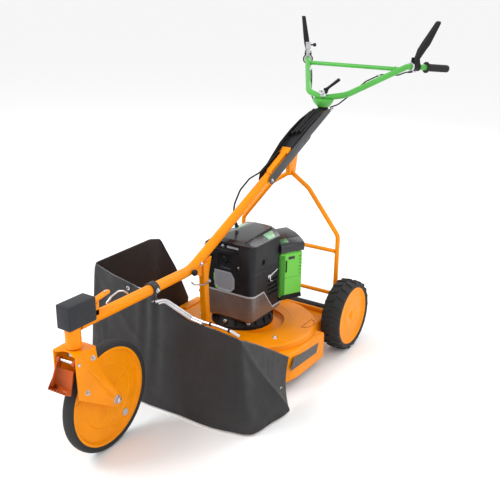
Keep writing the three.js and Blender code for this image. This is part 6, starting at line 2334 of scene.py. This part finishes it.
# ----------------------------------------------------------------------- studio
@dataclass
class Studio:
    """The plain pale floor, soft lights, world and camera."""

    eye: Point = (1.45762, -2.26616, 1.39088)
    yaw_deg: float = 33.0
    pitch_deg: float = -19.8
    roll_deg: float = 0.8
    lens: float = 53.31
    floor_size: float = 600.0

    def build(self) -> None:
        """Set up floor, lights, world, camera and view."""
        self.floor()
        self.lights()
        self.world()
        self.camera()
        bpy.context.scene.view_settings.view_transform = "Standard"

    def floor(self) -> None:
        """A plain pale floor."""
        clear_bench()
        bpy.ops.mesh.primitive_plane_add(size=self.floor_size)
        floor = bpy.context.object
        floor.name = "studio_floor"
        board = NodeBoard("studio_floor")
        board.shader.inputs["Base Color"].default_value = (0.93, 0.93, 0.93, 1)
        board.shader.inputs["Roughness"].default_value = 0.8
        floor.data.materials.append(board.material)

    def lights(self) -> None:
        """A large soft key, a broad fill and a back light."""
        for name, place, aim, size, power in (
                ("key", (-2.2, -2.6, 3.6), (0, 0, 0.4), 2.2, 112),
                ("fill", (3.4, -0.6, 2.2), (0, 0, 0.5), 3.0, 26),
                ("back", (0.8, 3.4, 3.0), (0, 0, 0.6), 2.6, 50)):
            lamp = bpy.data.lights.new(name, "AREA")
            lamp.shape = "SQUARE"
            lamp.size = size
            lamp.energy = power
            holder = bpy.data.objects.new(name, lamp)
            holder.location = place
            holder.rotation_euler = (Vector(aim) - Vector(place)).to_track_quat("-Z", "Y").to_euler()
            bpy.context.scene.collection.objects.link(holder)

    def world(self) -> None:
        """An even pale world."""
        world = bpy.data.worlds.new("studio")
        world.use_nodes = True
        background = world.node_tree.nodes["Background"]
        background.inputs[0].default_value = (1.0, 1.0, 1.0, 1)
        background.inputs[1].default_value = 0.99
        bpy.context.scene.world = world

    def camera(self) -> None:
        """Place the camera by its eye, yaw, pitch and roll."""
        yaw, pitch, roll = (math.radians(v) for v in (self.yaw_deg, self.pitch_deg, self.roll_deg))
        ahead = Vector((-math.sin(yaw) * math.cos(pitch), math.cos(yaw) * math.cos(pitch), math.sin(pitch)))
        right = Vector((math.cos(yaw), math.sin(yaw), 0))
        up = right.cross(ahead)
        right_rolled = right * math.cos(roll) + up * math.sin(roll)
        up_rolled = up * math.cos(roll) - right * math.sin(roll)
        lens = bpy.data.cameras.new("camera")
        lens.lens = self.lens
        lens.sensor_width = 36
        holder = bpy.data.objects.new("camera", lens)
        turn = Matrix((right_rolled, up_rolled, -ahead)).transposed().to_4x4()
        holder.matrix_world = Matrix.Translation(self.eye) @ turn
        bpy.context.scene.collection.objects.link(holder)
        bpy.context.scene.camera = holder


# ------------------------------------------------------------------------- main
def main() -> None:
    """Build every sub-assembly in order."""
    logging.basicConfig(level=logging.INFO, format="%(name)s %(message)s")
    battery = Battery()
    for assembly in (Backbone(), FrontEnd(), Deck(), Guard(), battery, Motor(battery), RearFrame(),
                     RearWheel(1, "left"), RearWheel(-1, "right"), Console(), Handlebar(), HandControls(),
                     InnerParts(), Studio()):
        log.info("-- %s", type(assembly).__name__)
        assembly.build()
    clear_bench()


if __name__ == "__main__":
    main()
